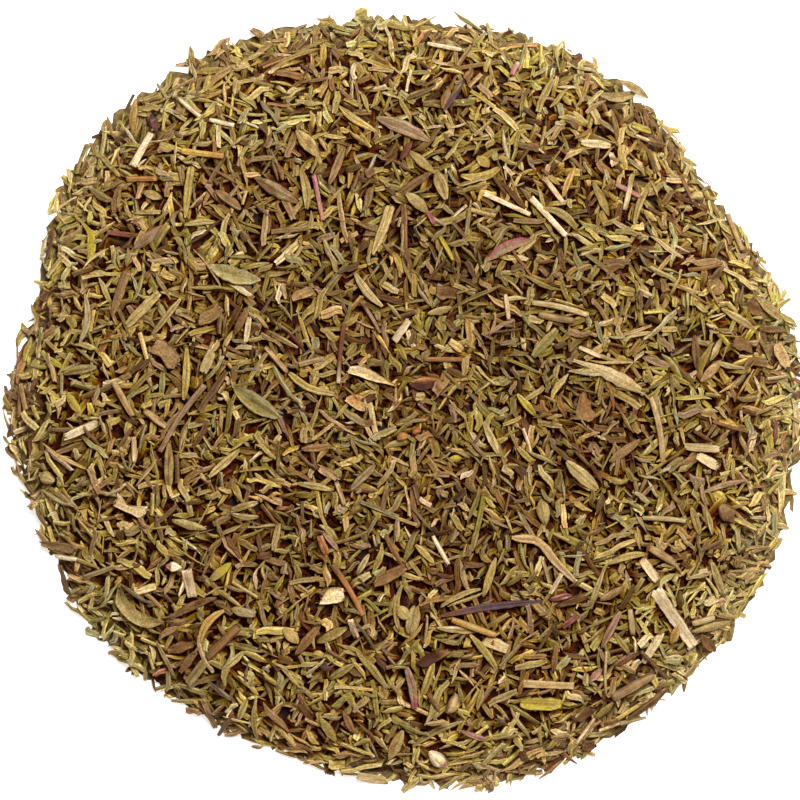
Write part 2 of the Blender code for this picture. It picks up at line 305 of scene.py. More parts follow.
def pour(pile, goal, ceiling, guard, owner, leaves, places):
    """Drops each leaf at the place that lacks most under the goal. Returns how the leaves rest
    and which ones were kept, and marks the cells that each one covers as its own."""
    resting, kept = [], []
    column, row = cell_of(places[..., 0]), cell_of(places[..., 1])
    want = goal[row, column]
    turns = rng.random(len(leaves)) * 2 * math.pi
    beside_last = rng.random(len(leaves)) < SISTERS
    wobble = rng.normal(0, 1, (len(leaves), 3))
    last = None
    start = owner.max() + 1
    for index, (length, width, thickness) in enumerate(leaves):
        lack = want[index] - pile[row[index], column[index]]
        best = lack.argmax()
        if lack[best] < LEAST_LACK:
            continue
        (x, y), turn = places[index, best], turns[index]
        if last and beside_last[index]:
            near = np.array(last[:2]) + SISTER_APART * wobble[index, 1:]
            if over(goal, *near) > 0:
                (x, y), turn = near, last[2] + SISTER_TURN * wobble[index, 0]
        ends = np.array((-0.5, 0.5)) * length + np.array((OVERHANG, -OVERHANG))
        past_rim = over(goal, x + ends * math.cos(turn), y + ends * math.sin(turn)) < 0
        if past_rim.any() and wobble[index, 2] < STRAYS_FROM:
            turn = math.atan2(y, x) + math.pi / 2 + RIM_TURN * wobble[index, 0]
        last = (x, y, turn)
        height, pitch, roll = settle(pile, x, y, turn, length, width)
        pitch += LOOSE_PITCH * wobble[index, 0]
        roll += LOOSE_ROLL * wobble[index, 1]
        lie = (x, y, height - SINK, turn, pitch, roll, length, width, thickness)
        cells, top = footprint(*lie)
        if guard[cells].sum() > GUARD_CELLS or (top > ceiling[cells]).any():
            continue
        if height - SINK > want[index, best] + STACK_LIMIT or abs(pitch) > STEEPEST:
            continue
        higher = top > pile[cells]
        covered = cells[0][higher], cells[1][higher]
        pile[covered] = top[higher]
        owner[covered] = start + len(resting)
        kept.append(index)
        resting.append(lie)
    return np.array(resting), np.array(kept)


# ---- Small leaf forms and their layers, in Geometry Nodes ----

LEAF_SIZES = {"Length": 4.0, "Width": 1.0, "Thickness": 0.5, "Stations": 5, "Sides": 8}
LEAF_SHAPE = ("Groove", "Cup", "Fold", "Cut", "Lopsided", "Bend", "Arch", "Twist", "Ragged")

# The shape of each form, in the order of LEAF_SHAPE. The first eight are rolled leaves, the next
# four lie more open, then come two torn halves, and the last two are stems.
FORMS = (
    (0.65, -0.10, 0.0, 0.05, 0.0, 0.12, 0.06, 0.3, 0.35),
    (0.60, -0.05, 0.0, 0.35, 0.5, 0.05, 0.03, -0.4, 0.4),
    (0.75, 0.05, 0.0, 0.85, -0.3, -0.10, 0.08, 0.2, 0.45),
    (0.50, -0.15, 0.0, 0.15, 1.0, 0.22, 0.10, 0.6, 0.35),
    (0.70, 0.00, 0.05, 0.25, -1.0, 0.00, -0.05, -0.2, 0.45),
    (0.35, -0.20, 0.0, 0.00, 0.5, -0.25, 0.12, 0.7, 0.35),
    (0.80, 0.10, 0.0, 0.60, 0.2, 0.06, 0.02, 0.0, 0.5),
    (0.55, -0.10, 0.0, 0.10, -0.6, 0.15, -0.08, -0.8, 0.4),
    (0.30, 0.22, 0.0, 0.00, 0.3, 0.10, 0.06, 0.4, 0.45),
    (0.20, -0.22, 0.0, 0.10, -0.4, -0.12, 0.10, -0.5, 0.45),
    (0.40, 0.00, 0.25, 0.20, 0.6, 0.05, -0.06, 0.5, 0.6),
    (0.30, 0.00, -0.25, 0.05, -0.5, 0.12, 0.08, -0.7, 0.6),
    (0.25, 0.15, 0.0, 0.75, 0.8, 0.00, 0.12, 0.6, 1.0),
    (0.20, -0.12, 0.1, 0.85, -0.9, 0.05, -0.10, -0.9, 1.0),
    (0.15, 0.00, 0.0, 1.10, 0.0, 0.06, 0.05, 0.2, 0.15),
    (0.45, 0.00, 0.0, 1.20, 0.3, -0.08, 0.03, 0.5, 0.2),
)
TEAR_SCALE = 1.1
TEAR_REACH = (2.0, 1.15, 0.5)

# How one leaf's shape is worked out, a sum to a line: its name, what is done, and with what.
LEAF_SUMS = (
    # The spine arches and bows, and sways to both sides where the leaf is lopsided.
    ("left", "SUBTRACT", 1.0, "share"),
    ("arc", "MULTIPLY", "share", "left"),
    ("hump", "MULTIPLY_ADD", "arc", 4.0, -0.5),
    ("whole_turn", "MULTIPLY", "share", 2 * math.pi),
    ("wave", "SINE", "whole_turn"),
    ("quarter_wave", "MULTIPLY", "wave", 0.25),
    ("sway", "MULTIPLY", "Lopsided", "quarter_wave"),
    ("aside", "MULTIPLY_ADD", "Bend", "hump", "sway"),
    ("from_middle", "SUBTRACT", "share", 0.5),
    ("ahead", "MULTIPLY", "from_middle", "Length"),
    ("lift", "MULTIPLY", "Arch", "hump"),
    ("tilt", "MULTIPLY", "from_middle", "Twist"),
    # The plan runs from a point (cut 0) to a square snapped end (cut 1), widest a little off middle.
    ("skew", "MULTIPLY", "hump", 0.12),
    ("lean", "MULTIPLY_ADD", "Lopsided", "skew", "share"),
    ("lean_from_middle", "SUBTRACT", "lean", 0.5),
    ("cut_away", "MULTIPLY", "Cut", 0.6),
    ("kept", "SUBTRACT", 1.0, "cut_away"),
    ("place_on_plan", "MULTIPLY_ADD", "lean_from_middle", "kept", 0.5),
    ("half_turn", "MULTIPLY", "place_on_plan", math.pi),
    ("swell", "SINE", "half_turn"),
    ("full_swell", "POWER", "swell", 0.75),
    ("plan", "MAXIMUM", "full_swell", 0.14),
    # The section has a grooved back over a flatter belly, and is cupped or folded.
    ("side", "ABSOLUTE", "x"),
    ("from_edge", "SUBTRACT", 1.0, "side"),
    ("middle", "POWER", "from_edge", 2.0),
    ("groove", "MULTIPLY", "middle", "Groove"),
    ("grooved", "SUBTRACT", 1.0, "groove"),
    ("upper", "MAXIMUM", "y", 0.0),
    ("back", "MULTIPLY", "upper", "grooved"),
    ("lower", "MINIMUM", "y", 0.0),
    ("belly", "MULTIPLY", "lower", 0.35),
    ("outline", "ADD", "back", "belly"),
    ("raised", "ADD", "outline", 0.35),
    ("skin", "MULTIPLY", "raised", "Thickness"),
    ("side_squared", "MULTIPLY", "side", "side"),
    ("cupped", "MULTIPLY", "Cup", "side_squared"),
    ("folded", "MULTIPLY_ADD", "Fold", "side", "cupped"),
    ("up", "MULTIPLY_ADD", "folded", "Width", "skin"),
    # Curve to Mesh lays a section's Y downwards here, so the section is drawn turned round.
    ("half_width", "MULTIPLY", "Width", -0.5),
    ("section_x", "MULTIPLY", "x", "half_width"),
    ("section_y", "MULTIPLY", "up", -1.0),
)


def new_tree(name, inputs):
    """A geometry tree and its named inputs, each given as its value or, without one, its kind."""
    tree = bpy.data.node_groups.new(name, "GeometryNodeTree")
    for label, value in inputs.items():
        kind = {float: "NodeSocketFloat", int: "NodeSocketInt"}.get(type(value))
        socket = tree.interface.new_socket(label, in_out="INPUT", socket_type=kind or value)
        if kind:
            socket.default_value = value
    tree.interface.new_socket("Geometry", in_out="OUTPUT", socket_type="NodeSocketGeometry")
    return tree, add(tree, "NodeGroupInput").outputs


def rolled_leaf_tree():
    """One small leaf along X: a tube with a grooved back, pointed or snapped, bent and twisted."""
    shape = {label: 0.0 for label in (*LEAF_SHAPE, "Seed")}
    tree, given = new_tree("rolled_leaf", {**LEAF_SIZES, **shape})
    spot = add(tree, "ShaderNodeSeparateXYZ", add(tree, "GeometryNodeInputPosition")).outputs
    known = dict(given.items())
    known |= {"share": add(tree, "GeometryNodeSplineParameter"), "x": spot["X"], "y": spot["Y"]}
    for name, operation, *values in LEAF_SUMS:
        values = [known.get(value, value) for value in values]
        known[name] = add(tree, "ShaderNodeMath", *values, operation=operation)

    spine = add(tree, "GeometryNodeCurvePrimitiveLine", inputs={
        "Start": (-0.5, 0, 0), "End": (0.5, 0, 0),
    })
    spine = add(tree, "GeometryNodeResampleCurve", inputs={
        "Curve": spine, "Count": given["Stations"],
    })
    spine = add(tree, "GeometryNodeStoreNamedAttribute", inputs={
        "Geometry": spine, "Name": "along", "Value": known["share"],
    }, data_type="FLOAT", domain="POINT")
    place = add(tree, "ShaderNodeCombineXYZ", known["ahead"], known["aside"], known["lift"])
    spine = add(tree, "GeometryNodeSetPosition", inputs={"Geometry": spine, "Position": place})
    spine = add(tree, "GeometryNodeSetCurveNormal", inputs={"Curve": spine}, mode="Z_UP")
    spine = add(tree, "GeometryNodeSetCurveTilt", inputs={"Curve": spine, "Tilt": known["tilt"]})

    ring = add(tree, "GeometryNodeCurvePrimitiveCircle", inputs={
        "Resolution": given["Sides"], "Radius": 1.0,
    })
    ring = add(tree, "GeometryNodeStoreNamedAttribute", inputs={
        "Geometry": ring, "Name": "across", "Value": known["x"],
    }, data_type="FLOAT", domain="POINT")
    section = add(tree, "ShaderNodeCombineXYZ", known["section_x"], known["section_y"])
    ring = add(tree, "GeometryNodeSetPosition", inputs={"Geometry": ring, "Position": section})

    leaf = add(tree, "GeometryNodeCurveToMesh", inputs={
        "Curve": spine, "Profile Curve": ring, "Scale": known["plan"], "Fill Caps": True,
    })
    tear = add(tree, "ShaderNodeTexNoise", inputs={
        "Vector": add(tree, "GeometryNodeInputPosition"), "W": given["Seed"],
        "Scale": TEAR_SCALE, "Detail": 1.0,
    }, noise_dimensions="4D").outputs["Color"]
    tear = add(tree, "ShaderNodeVectorMath", tear, (0.5, 0.5, 0.5), operation="SUBTRACT")
    tear = add(tree, "ShaderNodeVectorMath", tear, TEAR_REACH, operation="MULTIPLY")
    tear = add(tree, "ShaderNodeVectorMath", tear, inputs={"Scale": given["Ragged"]}, operation="SCALE")
    torn = add(tree, "GeometryNodeSetPosition", inputs={"Geometry": leaf, "Offset": tear})
    add(tree, "NodeGroupOutput", torn)
    return tree


def loose_leaf_tree(leaf_tree):
    """Small leaves on points: each point's form, turn, size and bow place its own leaf."""
    tree, given = new_tree("loose_leaves", {
        "Geometry": "NodeSocketGeometry", "Material": "NodeSocketMaterial", **LEAF_SIZES,
    })
    forms = add(tree, "GeometryNodeJoinGeometry")
    for number, form in enumerate(FORMS):
        leaf = add(tree, "GeometryNodeGroup", inputs={
            **{label: given[label] for label in LEAF_SIZES},
            **dict(zip(LEAF_SHAPE, form)), "Seed": 3.7 * number,
        }, node_tree=leaf_tree)
        single = add(tree, "GeometryNodeGeometryToInstance", leaf)
        tree.links.new(single.outputs[0], forms.inputs[0])
    own = {
        name: add(tree, "GeometryNodeInputNamedAttribute", inputs={"Name": name}, data_type=kind)
        for name, kind in (
            ("form", "INT"), ("turn", "FLOAT_VECTOR"), ("size", "FLOAT_VECTOR"),
            ("bow", "FLOAT_VECTOR"), ("along", "FLOAT"),
        )
    }
    placed = add(tree, "GeometryNodeInstanceOnPoints", inputs={
        "Points": given["Geometry"], "Instance": forms, "Pick Instance": True,
        "Instance Index": own["form"], "Scale": own["size"],
        "Rotation": add(tree, "FunctionNodeEulerToRotation", own["turn"]),
    })
    solid = add(tree, "GeometryNodeRealizeInstances", placed)
    left = add(tree, "ShaderNodeMath", 1.0, own["along"], operation="SUBTRACT")
    arc = add(tree, "ShaderNodeMath", own["along"], left, operation="MULTIPLY")
    hump = add(tree, "ShaderNodeMath", arc, 4.0, -0.5, operation="MULTIPLY_ADD")
    bow = add(tree, "ShaderNodeVectorMath", own["bow"], inputs={"Scale": hump}, operation="SCALE")
    bowed = add(tree, "GeometryNodeSetPosition", inputs={"Geometry": solid, "Offset": bow})
    smooth = add(tree, "GeometryNodeSetShadeSmooth", bowed)
    add(tree, "NodeGroupOutput", add(tree, "GeometryNodeSetMaterial", inputs={
        "Geometry": smooth, "Material": given["Material"],
    }))
    return tree


def set_input(modifier, label, value):
    """Sets a modifier's input, which goes by its socket's identifier."""
    for item in modifier.node_group.interface.items_tree:
        if item.item_type == "SOCKET" and item.in_out == "INPUT" and item.name == label:
            modifier[item.identifier] = value


def give(mesh, label, kind, slot, values):
    """Gives each of a mesh's corners its own value under this label."""
    kept = mesh.attributes.new(label, kind, "POINT")
    kind_of = np.int32 if kind == "INT" else np.float32
    kept.data.foreach_set(slot, np.ascontiguousarray(values, kind_of).ravel())


def values_of(items, label, width):
    """What a mesh's items say under this label, a row to each."""
    values = np.empty(len(items) * width, np.float32)
    items.foreach_get(label, values)
    return values.reshape(-1, width)


def leaf_layer(name, rows, tints, forms, bows, tree, material, sides, stations):
    """A plain mesh of small leaves, one to a row of the poured table."""
    points = bpy.data.meshes.new(name + "_points")
    points.vertices.add(len(rows))
    points.vertices.foreach_set("co", (rows[:, :3] * MM).astype(np.float32).ravel())
    natural = [LEAF_SIZES[label] for label in ("Length", "Width", "Thickness")]
    give(points, "turn", "FLOAT_VECTOR", "vector", np.stack([rows[:, 5], -rows[:, 4], rows[:, 3]], 1))
    give(points, "size", "FLOAT_VECTOR", "vector", rows[:, 6:9] / natural * MM)
    give(points, "bow", "FLOAT_VECTOR", "vector", bows * MM)
    give(points, "form", "INT", "value", forms)
    give(points, "tint", "FLOAT_COLOR", "color", np.column_stack([tints, rng.random(len(tints))]))
    source = link(bpy.data.objects.new(name + "_points", points))
    modifier = source.modifiers.new("leaves", "NODES")
    modifier.node_group = tree
    for label, value in (("Material", material), ("Sides", sides), ("Stations", stations)):
        set_input(modifier, label, value)
    evaluated = source.evaluated_get(bpy.context.evaluated_depsgraph_get())
    mesh = bpy.data.meshes.new_from_object(evaluated)
    bpy.data.objects.remove(source)
    for label in ("turn", "size", "bow", "form"):
        if label in mesh.attributes:
            mesh.attributes.remove(mesh.attributes[label])
    mesh.name = name
    return link(bpy.data.objects.new(name, mesh))


def shade_hollows(obj, surface, amount=1.0):
    """Painted shade in the hollows: what lies under the heap's eased surface is darker."""
    mesh = obj.data
    x, y, z = values_of(mesh.vertices, "co", 3).T / MM
    depth = (over(surface, x, y) - z)[:, None] - HOLLOW_START
    from_rim = (OPEN_RIM_TO - np.hypot(x, y)) / (OPEN_RIM_TO - OPEN_RIM_FROM)
    open_rim = np.clip(from_rim, OPEN_RIM_LEAST, 1)[:, None]
    share = amount * open_rim * np.clip(depth / HOLLOW_REACH, 0, 1)
    colours = mesh.attributes["tint"].data
    tint = values_of(colours, "color", 4)
    tint[:, :3] *= 1 - share * HOLLOW_LOSS
    colours.foreach_set("color", tint.ravel())


def press_on_table(obj):
    """Nothing sinks into the table: what would dip into it is pressed flat just above it."""
    mesh = obj.data
    place = values_of(mesh.vertices, "co", 3)
    low = place[:, 2] < PRESSED_FROM * MM
    pressed = PRESSED_FROM * np.exp(place[low, 2] / (PRESSED_FROM * MM) - 1)
    place[low, 2] = pressed * MM
    mesh.vertices.foreach_set("co", place.ravel())
    mesh.update()


# ---- Larger pieces, one by one ----

SLICE_STEP = 0.45
SLICED_ENDS = 0.015    # the first and last cuts lie this share of the length inside the ends
ROD_FORMS = ("twig", "husk", "bud")
# How deep a rod's ribs are, as a share of its radius, and how many there are.
RIBS = {"twig": (0.05, 5), "husk": (0.11, 8), "bud": (0.0, 1)}
HUSK_TEETH = 0.5
# How much a blade of each form waves, in half widths.
WAVES = {"rolled": 0.16, "strip": 0.10, "open": 0.18, "domed": 0.16, "folded": 0.22, "flake": 0.30}


def sliced(node):
    """A leaf's or twig's spine, half widths and lie, from cuts across its solid."""
    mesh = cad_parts[node].data
    mesh.calc_loop_triangles()
    verts = np.array([vert.co for vert in mesh.vertices]) / MM
    corners = verts[np.array([face.vertices for face in mesh.loop_triangles])]
    middle = verts.mean(0)
    lie = np.linalg.svd(verts - middle)[2]
    along = lie[0] * (1 if lie[0][np.abs(lie[0]).argmax()] > 0 else -1)
    up = np.array((0, 0, 1)) - along * along[2]
    up /= np.linalg.norm(up)
    side = np.cross(up, along)
    reach = (verts - middle) @ along
    length = reach.max() - reach.min()
    spine, halves = [], []
    for share in np.linspace(SLICED_ENDS, 1 - SLICED_ENDS, max(9, int(length / SLICE_STEP))):
        cut = reach.min() + share * length
        found = []
        for first, second in ((0, 1), (1, 2), (2, 0)):
            near = (corners[:, first] - middle) @ along - cut
            far = (corners[:, second] - middle) @ along - cut
            crossed = near * far < 0
            mix = (near / np.where(crossed, near - far, 1))[crossed][:, None]
            found.append(corners[crossed, first] * (1 - mix) + corners[crossed, second] * mix)
        found = np.concatenate(found) - middle
        across, height = found @ side, found @ up
        halves.append((across.max() - across.min()) / 2)
        spine.append(middle + along * cut + side * (across.max() + across.min()) / 2
                     + up * height.min())
    spine, halves = np.array(spine), np.array(halves)
    # A dried leaf bends in a curve, so the model's straight runs are eased into each other.
    for _ in range(3):
        spine[1:-1] = (spine[:-2] + 2 * spine[1:-1] + spine[2:]) / 4
        halves[1:-1] = (halves[:-2] + 2 * halves[1:-1] + halves[2:]) / 4
    return spine, halves, up


def plumped(spine, halves, up, stations=15, bluntness=1.06):
    """A bud's spine and half widths, rounded: its solid only gives its length and its girth."""
    shares = np.linspace(0, 1, stations)[:, None]
    around = halves.max() * np.sqrt(bluntness - (2 * shares - 1) ** 2)
    foot, tip = spine[0] + up * halves[0], spine[-1] + up * halves[-1]
    return foot * (1 - shares) + tip * shares - up * around, around.ravel()


def blade_section(form, x, top):
    """A leaf's surface across its width, in half widths above its underside: x runs from -1 to 1."""
    full = math.sqrt(max(0.0, 1 - x * x))
    if form == "rolled":
        if not top:
            return 0.4 - 0.4 * full
        return 0.4 + 0.6 * full - 0.5 * math.exp(-(x / 0.25) ** 2)
    rise = {"open": 0.55 * abs(x) ** 1.5, "domed": 0.55 * (1 - x * x), "folded": 0.9 * abs(x),
            "flake": 0.30 * x * x, "strip": 0.12 * x * x}[form]
    wall = 0.09 * full
    rib = -0.10 * math.exp(-(x / 0.14) ** 2) if form not in ("flake", "strip") else 0
    return rise + 0.1 + (wall + rib if top else -wall)


# How far the large flakes reach to their left and right, from foot to tip, in half widths.
FLAKE_EDGES = {
    "brown_cupped_flake": ((0.75, 1.0, 1.05, 1.0, 0.9, 0.5), (0.9, 0.8, 0.5, 0.7, 1.0, 0.6)),
    "tan_middle_flake": ((0.5, 1.4, 2.0, 2.0, 1.6, 0.5), (0.2, 0.5, 0.6, 0.7, 0.7, 0.4)),
    "split_brown_flake": ((0.3, 0.8, 1.1, 1.0, 0.8, 0.5), (0.4, 1.0, 1.2, 0.9, 1.1, 0.6)),
    "torn_tan_flake": ((1.5, 1.2, 0.35, 0.3, 0.5, 0.5), (0.3, 0.4, 0.7, 0.9, 1.2, 0.5)),
    "cream_folded_flake": ((0.25, 0.6, 0.9, 1.1, 0.9, 0.5), (0.2, 0.4, 0.7, 1.0, 1.05, 0.7)),
    "red_brown_flake": ((0.6, 1.3, 1.5, 1.0, 0.6, 0.4), (0.6, 1.25, 0.8, 0.9, 0.5, 0.3)),
    "tan_brown_flake": ((0.6, 1.1, 1.3, 1.1, 1.0, 0.6), (0.5, 0.9, 1.0, 1.1, 0.9, 0.5)),
    "dark_rim_flake": ((0.6, 1.0, 1.1, 1.0, 1.0, 0.5), (0.5, 0.8, 1.0, 1.1, 0.9, 0.5)),
    "orange_rim_flake": ((0.7, 1.0, 1.2, 1.0, 0.9, 0.7), (0.6, 1.1, 1.0, 1.1, 0.9, 0.6)),
    "dark_split_flake": ((0.2, 0.7, 1.0, 0.8, 0.9, 0.4), (0.4, 0.9, 0.7, 0.6, 0.4, 0.3)),
    "flat_dark_flake": ((0.7, 1.0, 1.0, 1.1, 0.7, 0.4), (0.5, 1.0, 1.1, 0.9, 0.9, 0.6)),
    "twisted_khaki_leaf": ((1.0, 1.5, 1.1, 0.5, 0.4, 0.1), (0.3, 0.5, 0.9, 0.9, 0.5, 0.1)),
}


def torn_edges(shares, seed):
    """How far a torn flake reaches to each side along its length, as shares of its half width."""
    draw = np.random.default_rng(int(seed * 10))
    knots = np.sort(np.concatenate([(0, 1), draw.uniform(0.12, 0.88, 3)]))
    edges = []
    for _ in range(2):
        reach = draw.uniform(0.62, 1.12, 5)
        reach[0], reach[4] = draw.uniform(0.25, 0.8, 2)
        edges.append(np.interp(shares, knots, reach))
    return edges


def corner_tint(first, second, where, x, share, length, seed):
    """A corner's colour: the first of the piece's two, the second where it lies, and mottling.
    The fourth number is the piece's own, and shifts its ribs."""
    mottle = ruffle(x * 1.1, share * length * 0.55, seed + 23)
    reach = {
        "tip": (share - 0.62) * 4, "foot": (0.38 - share) * 4,
        "edge": (x - 0.15) * 1.6, "spots": mottle * 2.2 - 0.15,
    }[where] + 0.5 * mottle
    mix = min(1.0, max(0.0, reach))
    light = 1 + 0.22 * ruffle(x * 2.1, share * length * 0.8, seed + 31)
    return (*((first * (1 - mix) + second * mix) * light), (seed * 0.37) % 1)


def fine_piece(form, spine, halves, up, tints, where, seed, sides=18, edges=None):
    """One closed piece along its spine: its faces, and its corners' places, colours, shares along
    the piece and shares across it."""
    count = len(spine)
    flake = form == "flake"
    tangents = np.gradient(spine, axis=0)
    tangents /= np.linalg.norm(tangents, axis=1)[:, None]
    length = np.linalg.norm(np.diff(spine, axis=0), axis=1).sum()
    widest = halves.max()
    shares = np.linspace(0, 1, count)
    if edges:
        edges = [np.interp(shares, np.linspace(0, 1, len(edge)), edge) for edge in edges]
    else:
        edges = torn_edges(shares, seed)
    first, second = (np.array(linear(TINTS[name])) for name in tints)
    corners = []
    for station in range(count):
        share = station / (count - 1)
        side = np.cross(up, tangents[station])
        side /= np.linalg.norm(side)
        out = np.cross(tangents[station], side)
        half = widest if flake else halves[station]
        for corner in range(sides):
            angle = 2 * math.pi * corner / sides
            x, y = math.cos(angle), math.sin(angle)
            if form in ROD_FORMS:
                depth, ribs = RIBS[form]
                grain = 0.10 * ruffle(x * 2.3, y * 2.3, seed + share * length * 0.16)
                swell = 1 + depth * math.cos(ribs * angle) + grain
                across, height = x * half * swell, half * (1 + y * swell)
            else:
                margin = 1 + 0.16 * ruffle(share * length * 0.9, math.copysign(3, x), seed)
                if flake:
                    margin = edges[0 if x > 0 else 1][station] * (0.94 + 0.06 * margin)
                ridges = 0.13 * ruffle(x * 3.4, share * 1.6, seed)
                waves = WAVES[form] * ruffle(x * 1.3, share * length * 0.75, seed + 5)
                across = x * half * margin
                height = half * blade_section(form, x, y >= 0) + widest * (ridges * (y > 0) + waves)
            point = spine[station] + side * across + out * height
            if station in (0, count - 1):
                tear, turned_over = (0.9, 0) if flake else (0.55, 1.7)
                torn = tear * half * ruffle(x * 2.6, y * turned_over, seed + 11 + station)
                teeth = HUSK_TEETH * half * math.cos(5 * angle) if form == "husk" else 0
                point = point + tangents[station] * (torn + teeth)
            tint = corner_tint(first, second, where, x, share, length, seed)
            corners.append((point, tint, share, x))
    faces = []
    for station in range(count - 1):
        for corner in range(sides):
            after = (corner + 1) % sides
            low, high = station * sides, (station + 1) * sides
            faces.append((low + corner, high + corner, high + after, low + after))
    # Each end is closed with a fan round its middle point.
    for station, turned in ((0, False), (count - 1, True)):
        ring = [station * sides + corner for corner in range(sides)]
        _, tint, share, _ = corners[ring[0]]
        corners.append((np.mean([corners[corner][0] for corner in ring], axis=0), tint, share, 0.0))
        for here, after in zip(ring, ring[1:] + ring[:1]):
            faces.append((len(corners) - 1, *((after, here) if turned else (here, after))))
    return faces, corners


def fine_object(name, pieces, kinds):
    """Fine pieces joined in one plain mesh, each with the skin of its kind, with outward faces."""
    corners, faces, slots = [], [], []
    used = sorted(set(kinds))
    for (piece_faces, piece_corners), kind in zip(pieces, kinds):
        start = len(corners)
        slots += [used.index(kind)] * len(piece_faces)
        faces += [tuple(start + corner for corner in face) for face in piece_faces]
        corners += piece_corners
    points, tints, alongs, acrosses = zip(*corners)
    mesh = bpy.data.meshes.new(name)
    mesh.from_pydata([tuple(MM * value for value in point) for point in points], [], faces)
    give(mesh, "tint", "FLOAT_COLOR", "color", tints)
    give(mesh, "along", "FLOAT", "value", alongs)
    give(mesh, "across", "FLOAT", "value", acrosses)
    shape = bmesh.new()
    shape.from_mesh(mesh)
    bmesh.ops.recalc_face_normals(shape, faces=shape.faces[:])
    shape.to_mesh(mesh)
    shape.free()
    mesh.shade_smooth()
    for kind in used:
        mesh.materials.append(skins[kind])
    mesh.polygons.foreach_set("material_index", slots)
    return link(bpy.data.objects.new(name, mesh))


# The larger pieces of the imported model: their form, their two colours, and where the second one
# lies: at the tip or the foot, along one edge or in spots.
LARGE_PIECES = {
    "broad_green_leaf": ("open", "sage", "olive", "spots"),
    "folded_green_leaf": ("folded", "moss", "sage", "edge"),
    "broad_pale_leaf": ("domed", "sand", "gold", "tip"),
    "bright_green_leaf": ("open", "citron", "yellow", "spots"),
    "blunt_khaki_leaf": ("rolled", "khaki", "gold", "spots"),
    "silver_curved_leaf": ("rolled", "silver", "sage", "spots"),
    "yellow_curved_leaf": ("domed", "citron", "yellow", "tip"),
    "upright_green_leaf": ("rolled", "yellow", "olive", "spots"),
    "mauve_leaf": ("domed", "mauve", "umber", "spots"),
    "speckled_leaf": ("domed", "gold", "umber", "spots"),
    "gold_leaf": ("rolled", "gold", "honey", "spots"),
    "ribbed_mauve_leaf": ("rolled", "mauve", "grey", "spots"),
    "grey_brown_leaf": ("rolled", "umber", "grey", "spots"),
    "long_gold_leaf": ("rolled", "gold", "khaki", "edge"),
    "magenta_edged_leaf": ("open", "mauve", "magenta", "edge"),
    "pale_short_leaf": ("rolled", "straw", "sand", "spots"),
    "red_brown_leaf": ("domed", "bark", "umber", "edge"),
    "bent_yellow_leaf": ("rolled", "yellow", "khaki", "tip"),
    "twisted_khaki_leaf": ("flake", "sand", "amber", "tip"),
    "tan_curled_leaf": ("rolled", "tan", "gold", "spots"),
    "long_purple_leaf": ("rolled", "violet", "plum", "foot"),
    "short_purple_leaf": ("domed", "plum", "mauve", "edge"),
    "pale_green_leaf": ("domed", "cream", "straw", "spots"),
    "edge_green_leaf": ("rolled", "khaki", "gold", "edge"),
    "dark_olive_leaf": ("domed", "moss", "khaki", "edge"),
    "spoon_leaf": ("open", "khaki", "moss", "spots"),
    "rim_yellow_leaf": ("domed", "gold", "orange", "spots"),
    "magenta_tipped_leaf": ("rolled", "mauve", "magenta", "foot"),
    "long_khaki_leaf": ("rolled", "khaki", "olive", "spots"),
    "pale_straw_chip": ("twig", "cream", "straw", "spots"),
    "orange_twig": ("twig", "orange", "amber", "spots"),
    "amber_twig": ("twig", "honey", "amber", "tip"),
    "rose_twig": ("twig", "rose", "magenta", "spots"),
    "thin_straw_twig": ("twig", "cream", "straw", "spots"),
    "long_straw_twig": ("twig", "cream", "straw", "spots"),
    "plum_twig": ("twig", "plum", "ash", "foot"),
    "pale_middle_chip": ("strip", "ash", "grey", "edge"),
    "mauve_twig": ("twig", "mauve", "umber", "spots"),
    "thick_straw_chip": ("strip", "cream", "straw", "spots"),
    "square_cut_chip": ("strip", "ash", "mauve", "spots"),
    "tan_bark_strip": ("strip", "tan", "sand", "edge"),
    "rim_brown_twig": ("twig", "tan", "umber", "edge"),
    "orange_brown_twig": ("twig", "orange", "umber", "tip"),
    "brown_cupped_flake": ("flake", "bark", "umber", "spots"),
    "tan_middle_flake": ("flake", "tan", "orange", "spots"),
    "split_brown_flake": ("flake", "dusk", "orange", "edge"),
    "torn_tan_flake": ("flake", "sand", "tan", "spots"),
    "cream_folded_flake": ("flake", "straw", "sand", "edge"),
    "red_brown_flake": ("flake", "rust", "umber", "edge"),
    "tan_brown_flake": ("flake", "bark", "rust", "spots"),
    "dark_rim_flake": ("flake", "umber", "rust", "spots"),
    "orange_rim_flake": ("flake", "tan", "bark", "edge"),
    "dark_split_flake": ("flake", "dusk", "rust", "tip"),
    "flat_dark_flake": ("flake", "cocoa", "bark", "edge"),
    "ribbed_rim_husk": ("husk", "khaki", "umber", "spots"),
    "cream_rim_husk": ("husk", "cream", "rose", "tip"),
    "brown_bud": ("bud", "umber", "bark", "spots"),
    "cream_bud": ("bud", "cream", "rose", "foot"),
}


